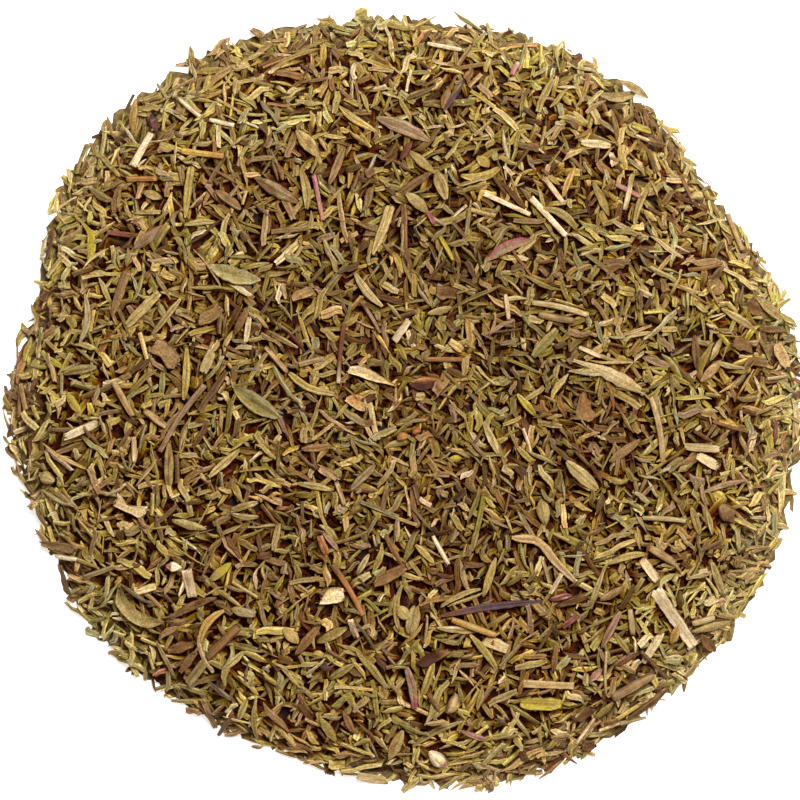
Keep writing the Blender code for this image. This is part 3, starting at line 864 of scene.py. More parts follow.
# Other pieces that stand out, by finish: form, two colours, start and end on the plan, width and,
# where it bows, its bend. They rest on the loose leaves, so their heights come from the pile.
STANDOUTS = {
    "green_leaf": (
        ("cut", "yellow", "khaki", -40, 25, -37.5, 28.5, 1.4),
        ("domed", "khaki", "olive", -42, 34, -39, 33, 1.6),
        ("rolled", "khaki", "gold", -35, 28.5, -30, 29, 1.1, 0.2),
        ("cut", "khaki", "yellow", -43.5, 30.5, -39, 30.5, 1.0),
        ("rolled", "olive", "khaki", -16, 37.5, -15, 31, 1.6, 0.3),
        ("domed", "khaki", "gold", 1, 33.5, 4.5, 30.5, 2.0),
        ("rolled", "olive", "umber", 34.5, 47, 35.5, 42.5, 1.3),
        ("domed", "olive", "khaki", 31.5, 35.5, 34, 30, 1.6),
        ("rolled", "olive", "khaki", 23.5, 31.5, 29, 28, 1.4, 0.9),
        ("rolled", "olive", "khaki", 41, 36, 38, 28.5, 1.2, -0.6),
        ("rolled", "yellow", "khaki", -34.5, 8.5, -35, 0, 1.4, 0.3),
        ("strip", "khaki", "silver", -30.5, 8, -32, 4.5, 1.7),
        ("rolled", "olive", "grey", -55, 4.5, -49.5, 5.5, 1.7, 0.3),
        ("domed", "khaki", "gold", -37, -19.5, -31.5, -21, 1.6),
        ("rolled", "khaki", "gold", -31, -12.5, -26, -8, 1.3),
        ("rolled", "khaki", "straw", -27.5, -18, -23, -16.5, 1.3, 0.2),
        ("rolled", "khaki", "gold", -27.5, -18.5, -23, -19, 1.1, -0.2),
        ("rolled", "khaki", "sand", -7.5, 20.5, -3, 15, 1.4, -0.5),
        ("rolled", "khaki", "sand", 13.5, -3.5, 16, -9, 1.3),
        ("rolled", "khaki", "yellow", -16.5, -13.5, -11, -14.5, 1.2, 0.2),
        ("rolled", "citron", "khaki", 19, 1, 22, -2.5, 1.3),
        ("rolled", "khaki", "gold", -22, 11.5, -16.5, 8.5, 1.0),
        ("open", "khaki", "sand", 58.5, 17, 63, 13, 1.7),
        ("domed", "khaki", "olive", 50.5, 6.5, 52.5, 10, 1.7),
        ("rolled", "khaki", "gold", 27, -10, 32, -14.5, 2.3),
        ("domed", "khaki", "olive", 23, -16, 23.5, -20, 2.3),
        ("rolled", "olive", "khaki", 47.5, -17.5, 49, -22, 1.4),
        ("rolled", "khaki", "olive", 50, -18, 51, -22, 1.1),
        ("domed", "citron", "khaki", -31, -29.5, -27.5, -26.5, 1.6),
        ("cut", "khaki", "gold", -52, -29, -46.5, -27, 1.0),
        ("cut", "olive", "khaki", -34.5, -46.5, -31.5, -42.5, 1.7),
        ("rolled", "khaki", "yellow", -29, -44, -25.5, -41, 1.3),
        ("rolled", "yellow", "khaki", -26.5, -52.5, -25, -49, 1.3),
        ("rolled", "olive", "yellow", -23.5, -56, -24, -50, 1.0, 0.3),
        ("rolled", "khaki", "gold", 6.5, -33.5, 13, -30.5, 1.0, 0.4),
        ("rolled", "khaki", "sand", 6, -37, 13, -37.5, 1.3),
        ("rolled", "khaki", "olive", 2.5, -33.5, 1.5, -38, 2.5),
        ("rolled", "olive", "khaki", 0, -30, -0.5, -37.5, 1.0, -0.8),
        ("rolled", "olive", "khaki", -7, -41, -2, -47, 1.3, 0.3),
        ("domed", "olive", "khaki", -13.5, -39.5, -8.5, -37, 1.7),
        ("rolled", "olive", "khaki", -11.5, -45.5, -7.5, -43, 1.4),
        ("rolled", "khaki", "sand", -7, -28.5, -5, -25, 1.1),
        ("domed", "olive", "citron", -13, -52, -10.5, -56, 1.6),
        ("rolled", "khaki", "olive", 31, -33.5, 33, -28, 1.0),
        ("rolled", "khaki", "yellow", 34, -26.5, 40, -25, 1.3, 0.3),
        ("rolled", "olive", "yellow", 35, -38, 37.5, -41.5, 1.1),
        ("rolled", "khaki", "olive", 51, -26.5, 53, -32, 1.4),
        ("domed", "khaki", "olive", 48, -38, 54, -36.5, 1.7),
        ("domed", "olive", "citron", 32, -52.5, 35, -49.5, 1.6),
        ("rolled", "khaki", "olive", 6, 37, 7.5, 32.5, 2.2),
        ("open", "khaki", "gold", 32.5, 50, 39, 50.5, 1.7, -0.8),
        ("open", "khaki", "sand", 36, 52.5, 41, 50, 1.7),
        ("rolled", "khaki", "gold", -40.5, 10.5, -35.5, 16.5, 1.1),
        ("rolled", "olive", "umber", -37.5, -7, -37.5, -14.5, 1.6),
    ),
    "yellow_leaf": (
        ("domed", "gold", "citron", 13.5, -32, 15.5, -25.5, 1.4),
        ("rolled", "yellow", "khaki", 5.5, -42.5, 3.5, -48.5, 1.4),
        ("domed", "gold", "khaki", -0.5, -33.5, 1.5, -35.5, 2.2),
        ("domed", "gold", "amber", -19, -37, -16.5, -39.5, 2.0),
        ("rolled", "yellow", "sand", 2.5, -23.5, 5.5, -26.5, 1.2),
        ("rolled", "yellow", "khaki", 11.5, -38, 16, -44, 1.3, 0.3),
        ("rolled", "yellow", "citron", 24, -57.5, 26, -55, 1.3),
        ("rolled", "yellow", "gold", 10, 36, 16.5, 37.5, 1.6, -1.0),
        ("domed", "khaki", "yellow", 1.5, 40.5, 5.5, 37, 1.7),
        ("domed", "yellow", "citron", 12.5, 39.5, 14.5, 38, 2.0),
        ("domed", "citron", "yellow", -54.5, 1, -52, -2, 1.7),
        ("cut", "citron", "khaki", 38, 45, 41, 44, 1.3),
        ("rolled", "amber", "gold", 26.5, 33, 28.5, 38, 1.2),
        ("domed", "khaki", "yellow", 4.5, 14, 8.5, 15, 1.4),
        ("cut", "gold", "amber", 8, 9.5, 10, 8, 1.4),
        ("domed", "citron", "yellow", 8, -9.5, 10, -9.5, 1.4),
        ("cut", "khaki", "citron", 35.5, 18, 38, 17.5, 1.7),
        ("cut", "gold", "sand", 42.5, 11.5, 45, 11.5, 1.0),
        ("domed", "amber", "gold", 44.5, -40, 45.5, -37, 1.6),
        ("rolled", "amber", "gold", -29, -34, -33, -39.5, 1.4, -1.0),
        ("twig", "citron", "yellow", 6, 27, 8.5, 22.5, 0.8),
    ),
    "brown_leaf": (
        ("domed", "amber", "olive", -43.5, 49.5, -44, 44, 1.7),
        ("rolled", "bark", "umber", -11.5, 35, -9, 41.5, 1.4),
        ("rolled", "umber", "grey", -1, 33, 5, 37, 1.4),
        ("domed", "bark", "orange", 7, 47.5, 8, 51, 1.7),
        ("domed", "rust", "mauve", -24.5, 15, -27, 10.5, 1.5),
        ("cut", "rust", "umber", 41, 42.5, 43.5, 42, 1.1),
        ("rolled", "bark", "rust", -16, -8, -11, -7.5, 1.3),
        ("rolled", "umber", "cocoa", 59, 11.5, 63.5, 11.5, 1.3),
        ("domed", "tan", "rust", 49, 3, 52.5, 6.5, 1.7),
        ("rolled", "mauve", "umber", 39.5, 7, 44, 5.5, 1.3),
        ("domed", "bark", "rust", 34, -10, 39, -6.5, 1.6),
        ("rolled", "umber", "cocoa", 48, 10.5, 48.5, 5, 1.4),
        ("cut", "bark", "tan", -32.5, -49, -30.5, -54, 1.1),
        ("domed", "rust", "cocoa", -37.5, -35.5, -30, -32, 1.4, 0.4),
        ("domed", "rust", "bark", -17, -41.5, -13, -36.5, 1.7),
        ("rolled", "mauve", "rose", -12.5, -21.5, -10, -24.5, 1.0),
        ("cut", "orange", "umber", -13, -22, -12, -25, 1.3),
        ("rolled", "rust", "umber", -2.5, -21.5, 0.5, -27, 1.1),
        ("rolled", "cocoa", "rust", 25.5, -33.5, 30.5, -32, 1.4, 0.3),
        ("domed", "bark", "umber", 32.5, -32.5, 36.5, -30.5, 1.7),
        ("open", "rust", "umber", 49.5, -38.5, 52, -41.5, 1.7),
        ("rolled", "umber", "cocoa", 37.5, -52.5, 44, -47.5, 1.4),
        ("rolled", "rust", "umber", 25, -44.5, 25.5, -39.5, 1.1),
        ("rolled", "bark", "umber", -30, 34, -26, 31, 1.7),
    ),
    "brown_flake": (
        ("flake", "bark", "umber", -32.5, 12.5, -29, 15, 2.3),
        ("flake", "bark", "amber", -17.5, 16.5, -14, 18, 1.8),
        ("flake", "umber", "cocoa", 6, 17.5, 9, 17, 2.4),
        ("flake", "umber", "rust", 54, 9.5, 57.5, 8.5, 2.6),
        ("flake", "tan", "sand", 61.8, 9.4, 63.4, 5.4, 2.6),
        ("flake", "bark", "plum", 5.4, 1.4, 7.8, 4.2, 2.4),
        ("flake", "bark", "umber", -59, -23.5, -53, -24.5, 2.0),
        ("flake", "umber", "bark", -55.5, -27, -54.5, -32, 2.0),
        ("flake", "rust", "cocoa", -38, -41, -33.5, -39.5, 2.0),
        ("flake", "rust", "bark", -36, -44.5, -33.5, -41, 1.8),
        ("flake", "rust", "umber", -4, -29.5, 1, -27, 2.3),
        ("flake", "tan", "rose", -13, -11, -10, -12.5, 2.1),
        ("flake", "cocoa", "umber", 30, -57, 32, -56.5, 2.3),
        ("flake", "umber", "tan", -24.5, 61, -22, 59.5, 1.7),
    ),
    "purple_leaf": (
        ("open", "violet", "plum", -41, 47, -40, 44, 1.4),
        ("domed", "plum", "cocoa", 0, 39, 2, 42, 1.4),
        ("rolled", "violet", "grey", 7, 47, 10.5, 52.5, 1.0),
        ("domed", "violet", "plum", -13, -43.5, -11, -43.5, 1.6),
        ("cut", "plum", "magenta", 26.5, -37, 29, -35, 1.0),
        ("domed", "mauve", "rose", 31, -46, 33, -44, 1.4),
        ("rolled", "mauve", "rose", 10, -54, 15, -56, 1.1),
        ("rolled", "mauve", "rose", 33, -40.5, 36, -34.5, 1.4),
        ("rolled", "plum", "rose", 24.4, -32.6, 28, -31.8, 1.2),
        ("rolled", "mauve", "tan", 49.5, -15, 56.5, -13, 1.0, 0.3),
    ),
    "purple_stem": (
        ("twig", "magenta", "rose", 4.5, 30.5, 5.5, 28.5, 0.8),
        ("twig", "rose", "cream", 18.5, 53, 19.5, 55, 1.0),
        ("twig", "mauve", "plum", -6, 16, -3, 11, 0.7, 0.2),
        ("twig", "rose", "mauve", 35, 35, 39, 33, 0.9),
    ),
    "straw_stem": (
        ("twig", "cream", "straw", -36, 49.5, -32.5, 46.5, 0.8),
        ("twig", "cream", "sand", -31, 46, -27, 45, 0.8),
        ("twig", "cream", "straw", 4.5, 58.5, 10, 57.5, 0.7),
        ("twig", "straw", "tan", 23.5, 36, 26.5, 32, 0.9),
        ("strip", "straw", "grey", -24.5, 13.5, -25, 9.5, 1.0),
        ("strip", "cream", "straw", -54.5, -6, -49, -3.5, 1.6),
        ("twig", "straw", "khaki", -43.5, -6, -43.5, -10, 0.9),
        ("twig", "straw", "tan", 17, 17, 17.5, 13, 0.8),
        ("twig", "sand", "khaki", 21.5, 16, 30.5, 14, 1.0, 0.3),
        ("twig", "straw", "sand", 29, 8.5, 32.5, 7, 0.8),
        ("strip", "sand", "straw", 46.5, -7.5, 52, -8, 1.4),
        ("strip", "straw", "sand", 48.5, -9, 52, -11, 1.6),
        ("twig", "cream", "straw", -56.5, -25.5, -53, -26, 0.8),
        ("cut", "straw", "mauve", -8, -35.5, -7, -38.5, 1.3),
        ("twig", "cream", "sand", 5.5, -22, 8, -26.5, 0.8),
        ("strip", "sand", "tan", -7, -62, -2, -63, 1.6),
        ("twig", "sand", "khaki", 37.5, -34, 38, -38, 1.0),
        ("strip", "straw", "mauve", 39.5, -26, 42, -29.5, 1.6),
        ("flake", "sand", "straw", 50, -33.5, 52, -32.5, 1.6),
        ("twig", "sand", "khaki", 48, -36.5, 51.5, -35.5, 1.1),
        ("twig", "straw", "tan", 29, -56.5, 32, -52.5, 0.6),
        ("twig", "sand", "tan", 33.5, -48, 33.5, -41, 0.5, 0.2),
        ("twig", "sand", "khaki", 39.5, -19, 46.5, -19.5, 0.8, 0.2),
        ("twig", "straw", "khaki", 37.5, 35.5, 36.5, 31, 0.9),
        ("strip", "sand", "khaki", 13.5, -39, 17.5, -40.5, 2.0),
    ),
    "grey_leaf": (
        ("domed", "silver", "khaki", -27.5, -34, -23.5, -35, 1.7),
        ("rolled", "grey", "umber", -8, -14.5, -4, -10.5, 1.4),
        ("rolled", "grey", "violet", -31.5, -46, -27, -49.5, 1.0),
        ("rolled", "grey", "umber", -40, -39.5, -37, -45.5, 0.8),
    ),
    "orange_stem": (
        ("twig", "rust", "orange", 4, 6.5, 10.5, 6.5, 0.8),
        ("twig", "tan", "umber", -10.5, -13, -9, -17, 0.8),
        ("twig", "tan", "bark", -22, 8.5, -18.5, 4.5, 0.9),
        ("twig", "tan", "bark", -46.5, 3, -43.5, -2.5, 1.1),
        ("twig", "tan", "umber", -41.5, -2, -38, -4.5, 1.2),
        ("twig", "tan", "sand", 41, 0.5, 43, -10, 1.0, 0.5),
        ("twig", "rust", "umber", -31, -42, -26, -37, 1.5),
        ("twig", "amber", "gold", 8.5, -35.5, 15.5, -38, 1.1),
        ("twig", "tan", "bark", 40.5, -24, 44.5, -26.5, 1.3),
        ("twig", "bark", "tan", 34.5, -48.5, 41, -45, 1.6),
        ("bud", "orange", "amber", -0.5, -6.5, 1.4, -6, 1.4),
        ("bud", "ember", "rust", 2, -5.5, 3.4, -5, 1.1),
        ("twig", "bark", "tan", 22.5, 14, 28, 13, 1.2),
    ),
    "brown_stem": (
        ("twig", "umber", "cocoa", 39.5, -41, 44, -45.5, 0.7),
        ("twig", "umber", "cocoa", -30, -55, -27.5, -51, 0.8),
    ),
    "husk": (
        ("husk", "tan", "umber", 9, -48, 7.5, -51, 1.9),
        ("bud", "gold", "sand", 47.5, 33, 49.5, 33, 1.6),
    ),
}

# The power that blunts a standout's ends: the lower, the blunter.
BLUNTNESS = {"rolled": 0.6, "domed": 0.75, "open": 0.85, "flake": 0.45, "husk": 0.6, "bud": 0.5}
SQUARE_CUT = 0.12
STANDOUT_STEP = 0.5
# How much of its width a standout's thickness is.
THIN_FORMS = ("open", "flake", "strip")
THIN, THICK = 0.35, 0.6


def standout_lie(pile, row):
    """How a standout piece lies on the pile, the cells that it covers, and its top over each."""
    form, _, _, x0, y0, x1, y1, width = row[:8]
    x, y = (x0 + x1) / 2, (y0 + y1) / 2
    length, turn = math.hypot(x1 - x0, y1 - y0), math.atan2(y1 - y0, x1 - x0)
    height, pitch, roll = settle(pile, x, y, turn, length, width)
    pitch = max(-STEEPEST, min(STEEPEST, pitch))
    lie = (x, y, height - SINK, turn, pitch, roll, length, width)
    return lie, *footprint(*lie, (THIN if form in THIN_FORMS else THICK) * width)


def standout(row, lie, seed):
    """A standout piece's faces and corners, where it lies."""
    form, *tints = row[:3]
    bend = row[8] if len(row) > 8 else 0
    x, y, height, turn, pitch, roll, length, width = lie
    shares = np.linspace(0, 1, max(9, int(length / STANDOUT_STEP)))
    hump = 4 * shares * (1 - shares) - 0.5
    reach = (shares - 0.5) * length
    spine = np.stack([
        x + reach * math.cos(turn) - bend * hump * math.sin(turn),
        y + reach * math.sin(turn) + bend * hump * math.cos(turn),
        height + reach * math.tan(pitch) + STANDOUT_ARCH * length * hump,
    ], 1)
    plan = np.sin(math.pi * (0.04 + 0.92 * shares))
    halves = width / 2 * plan ** BLUNTNESS.get(form, SQUARE_CUT)
    up = np.array((math.sin(turn) * math.sin(roll), -math.cos(turn) * math.sin(roll), math.cos(roll)))
    section = "rolled" if form == "cut" else form
    return fine_piece(section, spine, halves, up, tints, "spots", seed, sides=14)


# ---- Materials ----

# Patterns, as repeats to a millimetre: browned patches a little over 1 mm across, wrinkles of
# about 0.35 mm with finer ones down to 0.15 mm between them, and crumbs of about 0.9 mm. The oil
# glands and down of thyme are finer than 0.1 mm, too fine to show, so the wrinkles stand for them.
PATCHES_TO_MM = 0.9
WRINKLES_TO_MM = 2.9
CRUMBS_TO_MM = 1.1
# What a browned patch, and an edge or end paled by rubbing and painted highlight, do to red, green and
# blue.
BROWNING = (0.84, 0.73, 0.56)
EDGE_HIGHLIGHT_AND_WEAR = (1.42, 1.43, 1.68)

# What each finish is made of: ribs across it, their contrast, the wrinkles' contrast, how much painted
# shade darkens the groove and how much the edge is paler from rubbing and painted highlight, and its
# roughness. Rubbed leaf is shrivelled, so its ribs and groove are deep; a broad leaf dries flat and
# stays downy; a stem is split straw-like wood; a flake is papery old leaf.
SKINS = {
    "rubbed_thyme_leaf": (2.4, 0.48, 0.46, 0.38, 0.6, 0.58),
    "broad_thyme_leaf_dried_flat": (5.0, 0.26, 0.54, 0.25, 0.5, 0.72),
    "split_thyme_stem": (4.5, 0.42, 0.34, 0.12, 0.4, 0.50),
    "papery_leaf_flake": (1.2, 0.26, 0.58, 0.00, 0.6, 0.78),
    "dried_flower_husk": (1.6, 0.30, 0.40, 0.10, 0.5, 0.70),
}
SKIN_OF_FORM = {
    "rolled": "rubbed_thyme_leaf", "cut": "rubbed_thyme_leaf", "folded": "rubbed_thyme_leaf",
    "domed": "broad_thyme_leaf_dried_flat", "open": "broad_thyme_leaf_dried_flat",
    "strip": "split_thyme_stem", "twig": "split_thyme_stem", "flake": "papery_leaf_flake",
    "husk": "dried_flower_husk", "bud": "dried_flower_husk",
}


def new_material(name):
    """A new material with its node tree and its shader's inputs."""
    material = bpy.data.materials.new(name)
    material.use_nodes = True
    tree = material.node_tree
    return material, tree, tree.nodes["Principled BSDF"].inputs


def in_millimetres(tree):
    """The place on the object in millimetres, for patterns of a real size."""
    place = add(tree, "ShaderNodeTexCoord").outputs["Object"]
    return add(tree, "ShaderNodeMapping", inputs={"Vector": place, "Scale": (1000, 1000, 1000)})


def dried_plant_material(name, ribs_across, rib_contrast, wrinkle_contrast, groove, highlight_and_wear, roughness):
    """A dried plant skin: ribs along the piece, partly painted highlight, fine wrinkles, browned patches,
    painted shade in a sunken groove down the middle, edges made pale by rubbing and painted highlight, and
    pale, rubbed ends."""
    material, tree, shader = new_material(name)
    place = in_millimetres(tree)
    own = add(tree, "ShaderNodeAttribute", attribute_name="tint").outputs
    along = add(tree, "ShaderNodeAttribute", attribute_name="along").outputs["Fac"]
    across = add(tree, "ShaderNodeAttribute", attribute_name="across").outputs["Fac"]
    seed = own["Alpha"]
    side = add(tree, "ShaderNodeMath", across, operation="ABSOLUTE")
    end = add(tree, "ShaderNodeMath", along, 0.5, operation="SUBTRACT")
    end = add(tree, "ShaderNodeMath", end, operation="ABSOLUTE")
    patches = add(tree, "ShaderNodeTexNoise", inputs={
        "Vector": place, "Scale": PATCHES_TO_MM, "Detail": 2.0,
    })
    wrinkles = add(tree, "ShaderNodeTexNoise", inputs={
        "Vector": place, "Scale": WRINKLES_TO_MM, "Detail": 3.0, "Roughness": 0.75,
    })
    # Ribs about a fifth of a millimetre apart run along each piece and break it into streaks, partly the
    # leaf's own streaky tone and partly painted highlight along the ridges.
    far_along = add(tree, "ShaderNodeMath", seed, 31.0, along, operation="MULTIPLY_ADD")
    shift = add(tree, "ShaderNodeMath", seed, 17.0, operation="MULTIPLY")
    far_across = add(tree, "ShaderNodeMath", across, ribs_across, shift, operation="MULTIPLY_ADD")
    deep = add(tree, "ShaderNodeMath", seed, 9.0, operation="MULTIPLY")
    ribs = add(tree, "ShaderNodeTexNoise", inputs={
        "Vector": add(tree, "ShaderNodeCombineXYZ", far_along, far_across, deep),
        "Scale": 2.0, "Detail": 2.0, "Roughness": 0.6,
    })

    share = add(tree, "ShaderNodeMapRange", patches, 0.42, 0.72, 0.0, 1.0)
    browned = add(tree, "ShaderNodeVectorMath", own["Color"], BROWNING, operation="MULTIPLY")
    colour = add(tree, "ShaderNodeMix", inputs={0: share, 6: own["Color"], 7: browned}, data_type="RGBA")
    colour = colour.outputs[2]
    # The ribs and wrinkles scale the colour, and painted shade darkens the groove down the middle.
    for pattern, low, high, dark, light in (
        (ribs, 0.3, 0.7, 1 - rib_contrast, 1 + 0.9 * rib_contrast),
        (wrinkles, 0.3, 0.7, 1 - wrinkle_contrast, 1 + 0.85 * wrinkle_contrast),
        (side, 0.04, 0.30, 1 - groove, 1.0),
    ):
        light = add(tree, "ShaderNodeMapRange", pattern, low, high, dark, light)
        colour = add(tree, "ShaderNodeVectorMath", colour, inputs={"Scale": light}, operation="SCALE")
    # The edges are paler: partly rubbing, partly painted highlight where light would catch the rolled
    # margin.
    highlit_and_worn = add(tree, "ShaderNodeVectorMath", colour, EDGE_HIGHLIGHT_AND_WEAR, operation="MULTIPLY")
    share = add(tree, "ShaderNodeMapRange", side, 0.5, 0.78, 0.0, highlight_and_wear)
    colour = add(tree, "ShaderNodeMix", inputs={0: share, 6: colour, 7: highlit_and_worn}, data_type="RGBA")
    # The very edge turns under, into its own shadow.
    light = add(tree, "ShaderNodeMapRange", side, 0.84, 0.94, 1.0, 0.55)
    colour = add(
        tree, "ShaderNodeVectorMath", colour.outputs[2], inputs={"Scale": light}, operation="SCALE"
    )
    # The broken ends are paler from rubbing as well.
    share = add(tree, "ShaderNodeMapRange", end, 0.42, 0.5, 0.0, highlight_and_wear)
    colour = add(tree, "ShaderNodeMix", inputs={0: share, 6: colour, 7: highlit_and_worn}, data_type="RGBA")
    tree.links.new(colour.outputs[2], shader["Base Color"])

    rough = add(tree, "ShaderNodeMapRange", wrinkles, 0.3, 0.7, roughness - 0.12, roughness + 0.12)
    tree.links.new(rough.outputs[0], shader["Roughness"])
    shader["Specular IOR Level"].default_value = 0.12
    # A faint dull red glow, painted light, stands for light that has soaked through the thin leaf round
    # about and reaches the deepest gaps.
    shader["Emission Color"].default_value = (1, 0.02, 0, 1)
    shader["Emission Strength"].default_value = 0.005
    bump = add(tree, "ShaderNodeBump", inputs={
        "Height": add(tree, "ShaderNodeMath", ribs, wrinkles, operation="ADD"),
        "Strength": 0.7, "Distance": 0.00015,
    })
    tree.links.new(bump.outputs[0], shader["Normal"])
    return material


def bed_material():
    """Painted shade under the loose leaves: a matt, nearly black-brown bed with crumbs, where only shade
    shows between them. The rim is one leaf thick, so light gets in and shows it khaki: painted light."""
    material, tree, shader = new_material("bed_painted_shade_and_lit_rim")
    place = in_millimetres(tree)
    crumbs = add(tree, "ShaderNodeTexVoronoi", inputs={"Vector": place, "Scale": CRUMBS_TO_MM})
    # Near-black painted shade in the middle and khaki painted light at the rim, each mottled with crumbs.
    colours = []
    for low, high, first, second in (
        (0.0, 0.9, "3a2208", "180a02"), (0.1, 0.7, "94804a", "5e4a24"),
    ):
        colours.append(add(tree, "ShaderNodeMix", inputs={
            0: add(tree, "ShaderNodeMapRange", crumbs, low, high, 0.0, 1.0),
            6: (*linear(first), 1), 7: (*linear(second), 1),
        }, data_type="RGBA").outputs[2])
    flat = add(tree, "ShaderNodeVectorMath", place, (1, 1, 0), operation="MULTIPLY")
    reach = add(tree, "ShaderNodeVectorMath", flat, operation="LENGTH").outputs["Value"]
    # Painted light: from 55 to 62 mm out, the bed turns khaki.
    colour = add(tree, "ShaderNodeMix", inputs={
        0: add(tree, "ShaderNodeMapRange", reach, 55.0, 62.0, 0.0, 1.0),
        6: colours[0], 7: colours[1],
    }, data_type="RGBA")
    tree.links.new(colour.outputs[2], shader["Base Color"])
    shader["Roughness"].default_value = 0.9
    return material


def floor_material():
    """Seamless white paper, bright enough to wash out the heap's own shadow."""
    material, _, shader = new_material("white_backdrop_paper")
    shader["Base Color"].default_value = (0.9, 0.9, 0.9, 1)
    shader["Roughness"].default_value = 0.9
    shader["Emission Color"].default_value = (1, 1, 1, 1)
    shader["Emission Strength"].default_value = 0.7
    return material


# ---- The bed under the loose leaves ----

BED_SPOKES, BED_RINGS = 360, 36
BED_LEAST = 0.3
LUMPS_TO_MM = 0.45
LUMP_HEIGHT = 0.7
RIM_FROM = 40


def rim_reach(heights, x, y):
    """How far the bed reaches from its middle along this direction."""
    reaches = np.arange(RIM_FROM, HALF - 1, CELL)
    covered = over(heights, x * reaches, y * reaches) > BARE
    return reaches[covered][-1] - RIM_INSET + RIM_RAGGED * ruffle(30 * x, 30 * y, 7)


def packed_bed(heights):
    """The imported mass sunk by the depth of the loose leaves: a lumpy top on a flat, closed underside."""
    headings = [2 * math.pi * spoke / BED_SPOKES for spoke in range(BED_SPOKES)]
    headings = [(math.cos(angle), math.sin(angle)) for angle in headings]
    rims = [rim_reach(heights, x, y) for x, y in headings]
    verts, faces = [(0.0, 0.0, 0.0)], []
    for ring in range(BED_RINGS):
        share = math.sin(math.pi / 2 * (1 - ring / BED_RINGS))
        for (x, y), rim_of_spoke in zip(headings, rims):
            reach = rim_of_spoke * share
            height = over(heights, x * reach, y * reach) - BED_DEPTH
            lump = noise.noise(Vector((x, y, 0.1)) * (reach * LUMPS_TO_MM))
            least = 0.0 if ring == 0 else BED_LEAST
            verts.append((x * reach, y * reach, max(least, height + LUMP_HEIGHT * lump)))
    verts.append((0.0, 0.0, over(heights, 0, 0) - BED_DEPTH))
    for spoke in range(BED_SPOKES):
        after = (spoke + 1) % BED_SPOKES
        faces.append((0, 1 + after, 1 + spoke))
        for ring in range(BED_RINGS - 1):
            low, high = 1 + ring * BED_SPOKES, 1 + (ring + 1) * BED_SPOKES
            faces.append((low + spoke, low + after, high + after, high + spoke))
        last = 1 + (BED_RINGS - 1) * BED_SPOKES
        faces.append((last + spoke, last + after, len(verts) - 1))
    mesh = bpy.data.meshes.new("packed_bed")
    mesh.from_pydata([tuple(MM * value for value in vert) for vert in verts], [], faces)
    mesh.shade_smooth()
    return link(bpy.data.objects.new("packed_bed", mesh))


# ---- Camera, light and floor ----

VIEW_WIDTH = 131.15
CAMERA_DISTANCE = 900
VIEW_PLANE = 8         # the view width is measured at this height
SENSOR = 36


def set_the_stage():
    """A camera straight above, one soft key light, and white paper under the heap."""
    scene = bpy.context.scene
    scene.view_settings.view_transform = "Standard"
    camera = link(bpy.data.objects.new("camera", bpy.data.cameras.new("camera")))
    camera.location = (0, 0, (CAMERA_DISTANCE + VIEW_PLANE) * MM)
    camera.data.sensor_width = SENSOR
    camera.data.lens = SENSOR * CAMERA_DISTANCE / VIEW_WIDTH
    scene.camera = camera
    # Warm light bounced from the room fills the shadows.
    world = bpy.data.worlds.new("studio")
    world.use_nodes = True
    world.node_tree.nodes["Background"].inputs["Color"].default_value = (1, 0.56, 0.14, 1)
    world.node_tree.nodes["Background"].inputs["Strength"].default_value = 0.14
    scene.world = world
    key = bpy.data.lights.new("key_softbox", "AREA")
    key.size = 0.25
    key.energy = 7.9
    lamp = link(bpy.data.objects.new("key_softbox", key))
    lamp.location = (0.14, 0.20, 0.69)
    lamp.rotation_euler = Vector(lamp.location).to_track_quat("Z", "Y").to_euler()
    bpy.ops.mesh.primitive_plane_add(size=3, location=(0, 0, -0.0002))
    floor = bpy.context.object
    floor.name = "floor"
    floor.data.materials.append(floor_material())


# ---- What the loose leaves are: sizes, places and colours ----

# Share of the leaves, length, its spread, least and most width, least and most thickness, and
# the forms they take: rolled leaves, open leaves, torn halves, stems and crumbs.
KINDS = np.array((
    (0.39, 3.4, 0.36, 0.50, 1.05, 0.30, 0.44, 0, 8),
    (0.20, 3.6, 0.36, 0.80, 1.50, 0.16, 0.26, 8, 12),
    (0.13, 2.1, 0.34, 0.90, 1.80, 0.16, 0.24, 12, 14),
    (0.10, 3.2, 0.40, 0.24, 0.45, 0.20, 0.34, 14, 16),
    (0.18, 1.4, 0.30, 0.40, 0.85, 0.25, 0.40, 0, 14),
))
LONGEST = 9.0
POURED_TO = 66.0

# The finishes of the loose leaves, and their colours: each one's share and finish.
FINISHES = ("green_leaf", "yellow_leaf", "pale_leaf", "brown_leaf")
LEAF_COLOURS = (
    ("khaki", 16, "green_leaf"), ("olive", 22, "green_leaf"), ("sage", 5, "green_leaf"),
    ("gold", 9, "yellow_leaf"), ("yellow", 7, "yellow_leaf"), ("lime", 1.5, "yellow_leaf"),
    ("sand", 5, "pale_leaf"), ("straw", 2, "pale_leaf"), ("tan", 5, "pale_leaf"),
    ("bark", 16, "brown_leaf"), ("umber", 10, "brown_leaf"), ("cocoa", 4, "brown_leaf"),
    ("mauve", 2, "brown_leaf"), ("rust", 3, "brown_leaf"), ("grey", 2, "green_leaf"),
    ("plum", 0.6, "brown_leaf"),
)
COLOUR_NAMES, COLOUR_SHARES, COLOUR_FINISHES = zip(*LEAF_COLOURS)
TINT_SPREAD = 0.24
BRIGHTEST = 0.7
# How much of their red, green and blue the leaves keep in the middle and at the rim. The rim's gain is
# painted light, as if from the white paper round about.
MIDDLE_TONE = np.array([0.87, 0.85, 0.88])
RIM_LIGHT_AND_TONE = np.array([1.26, 1.32, 1.32])
RIM_LIGHT_RADIUS = 62
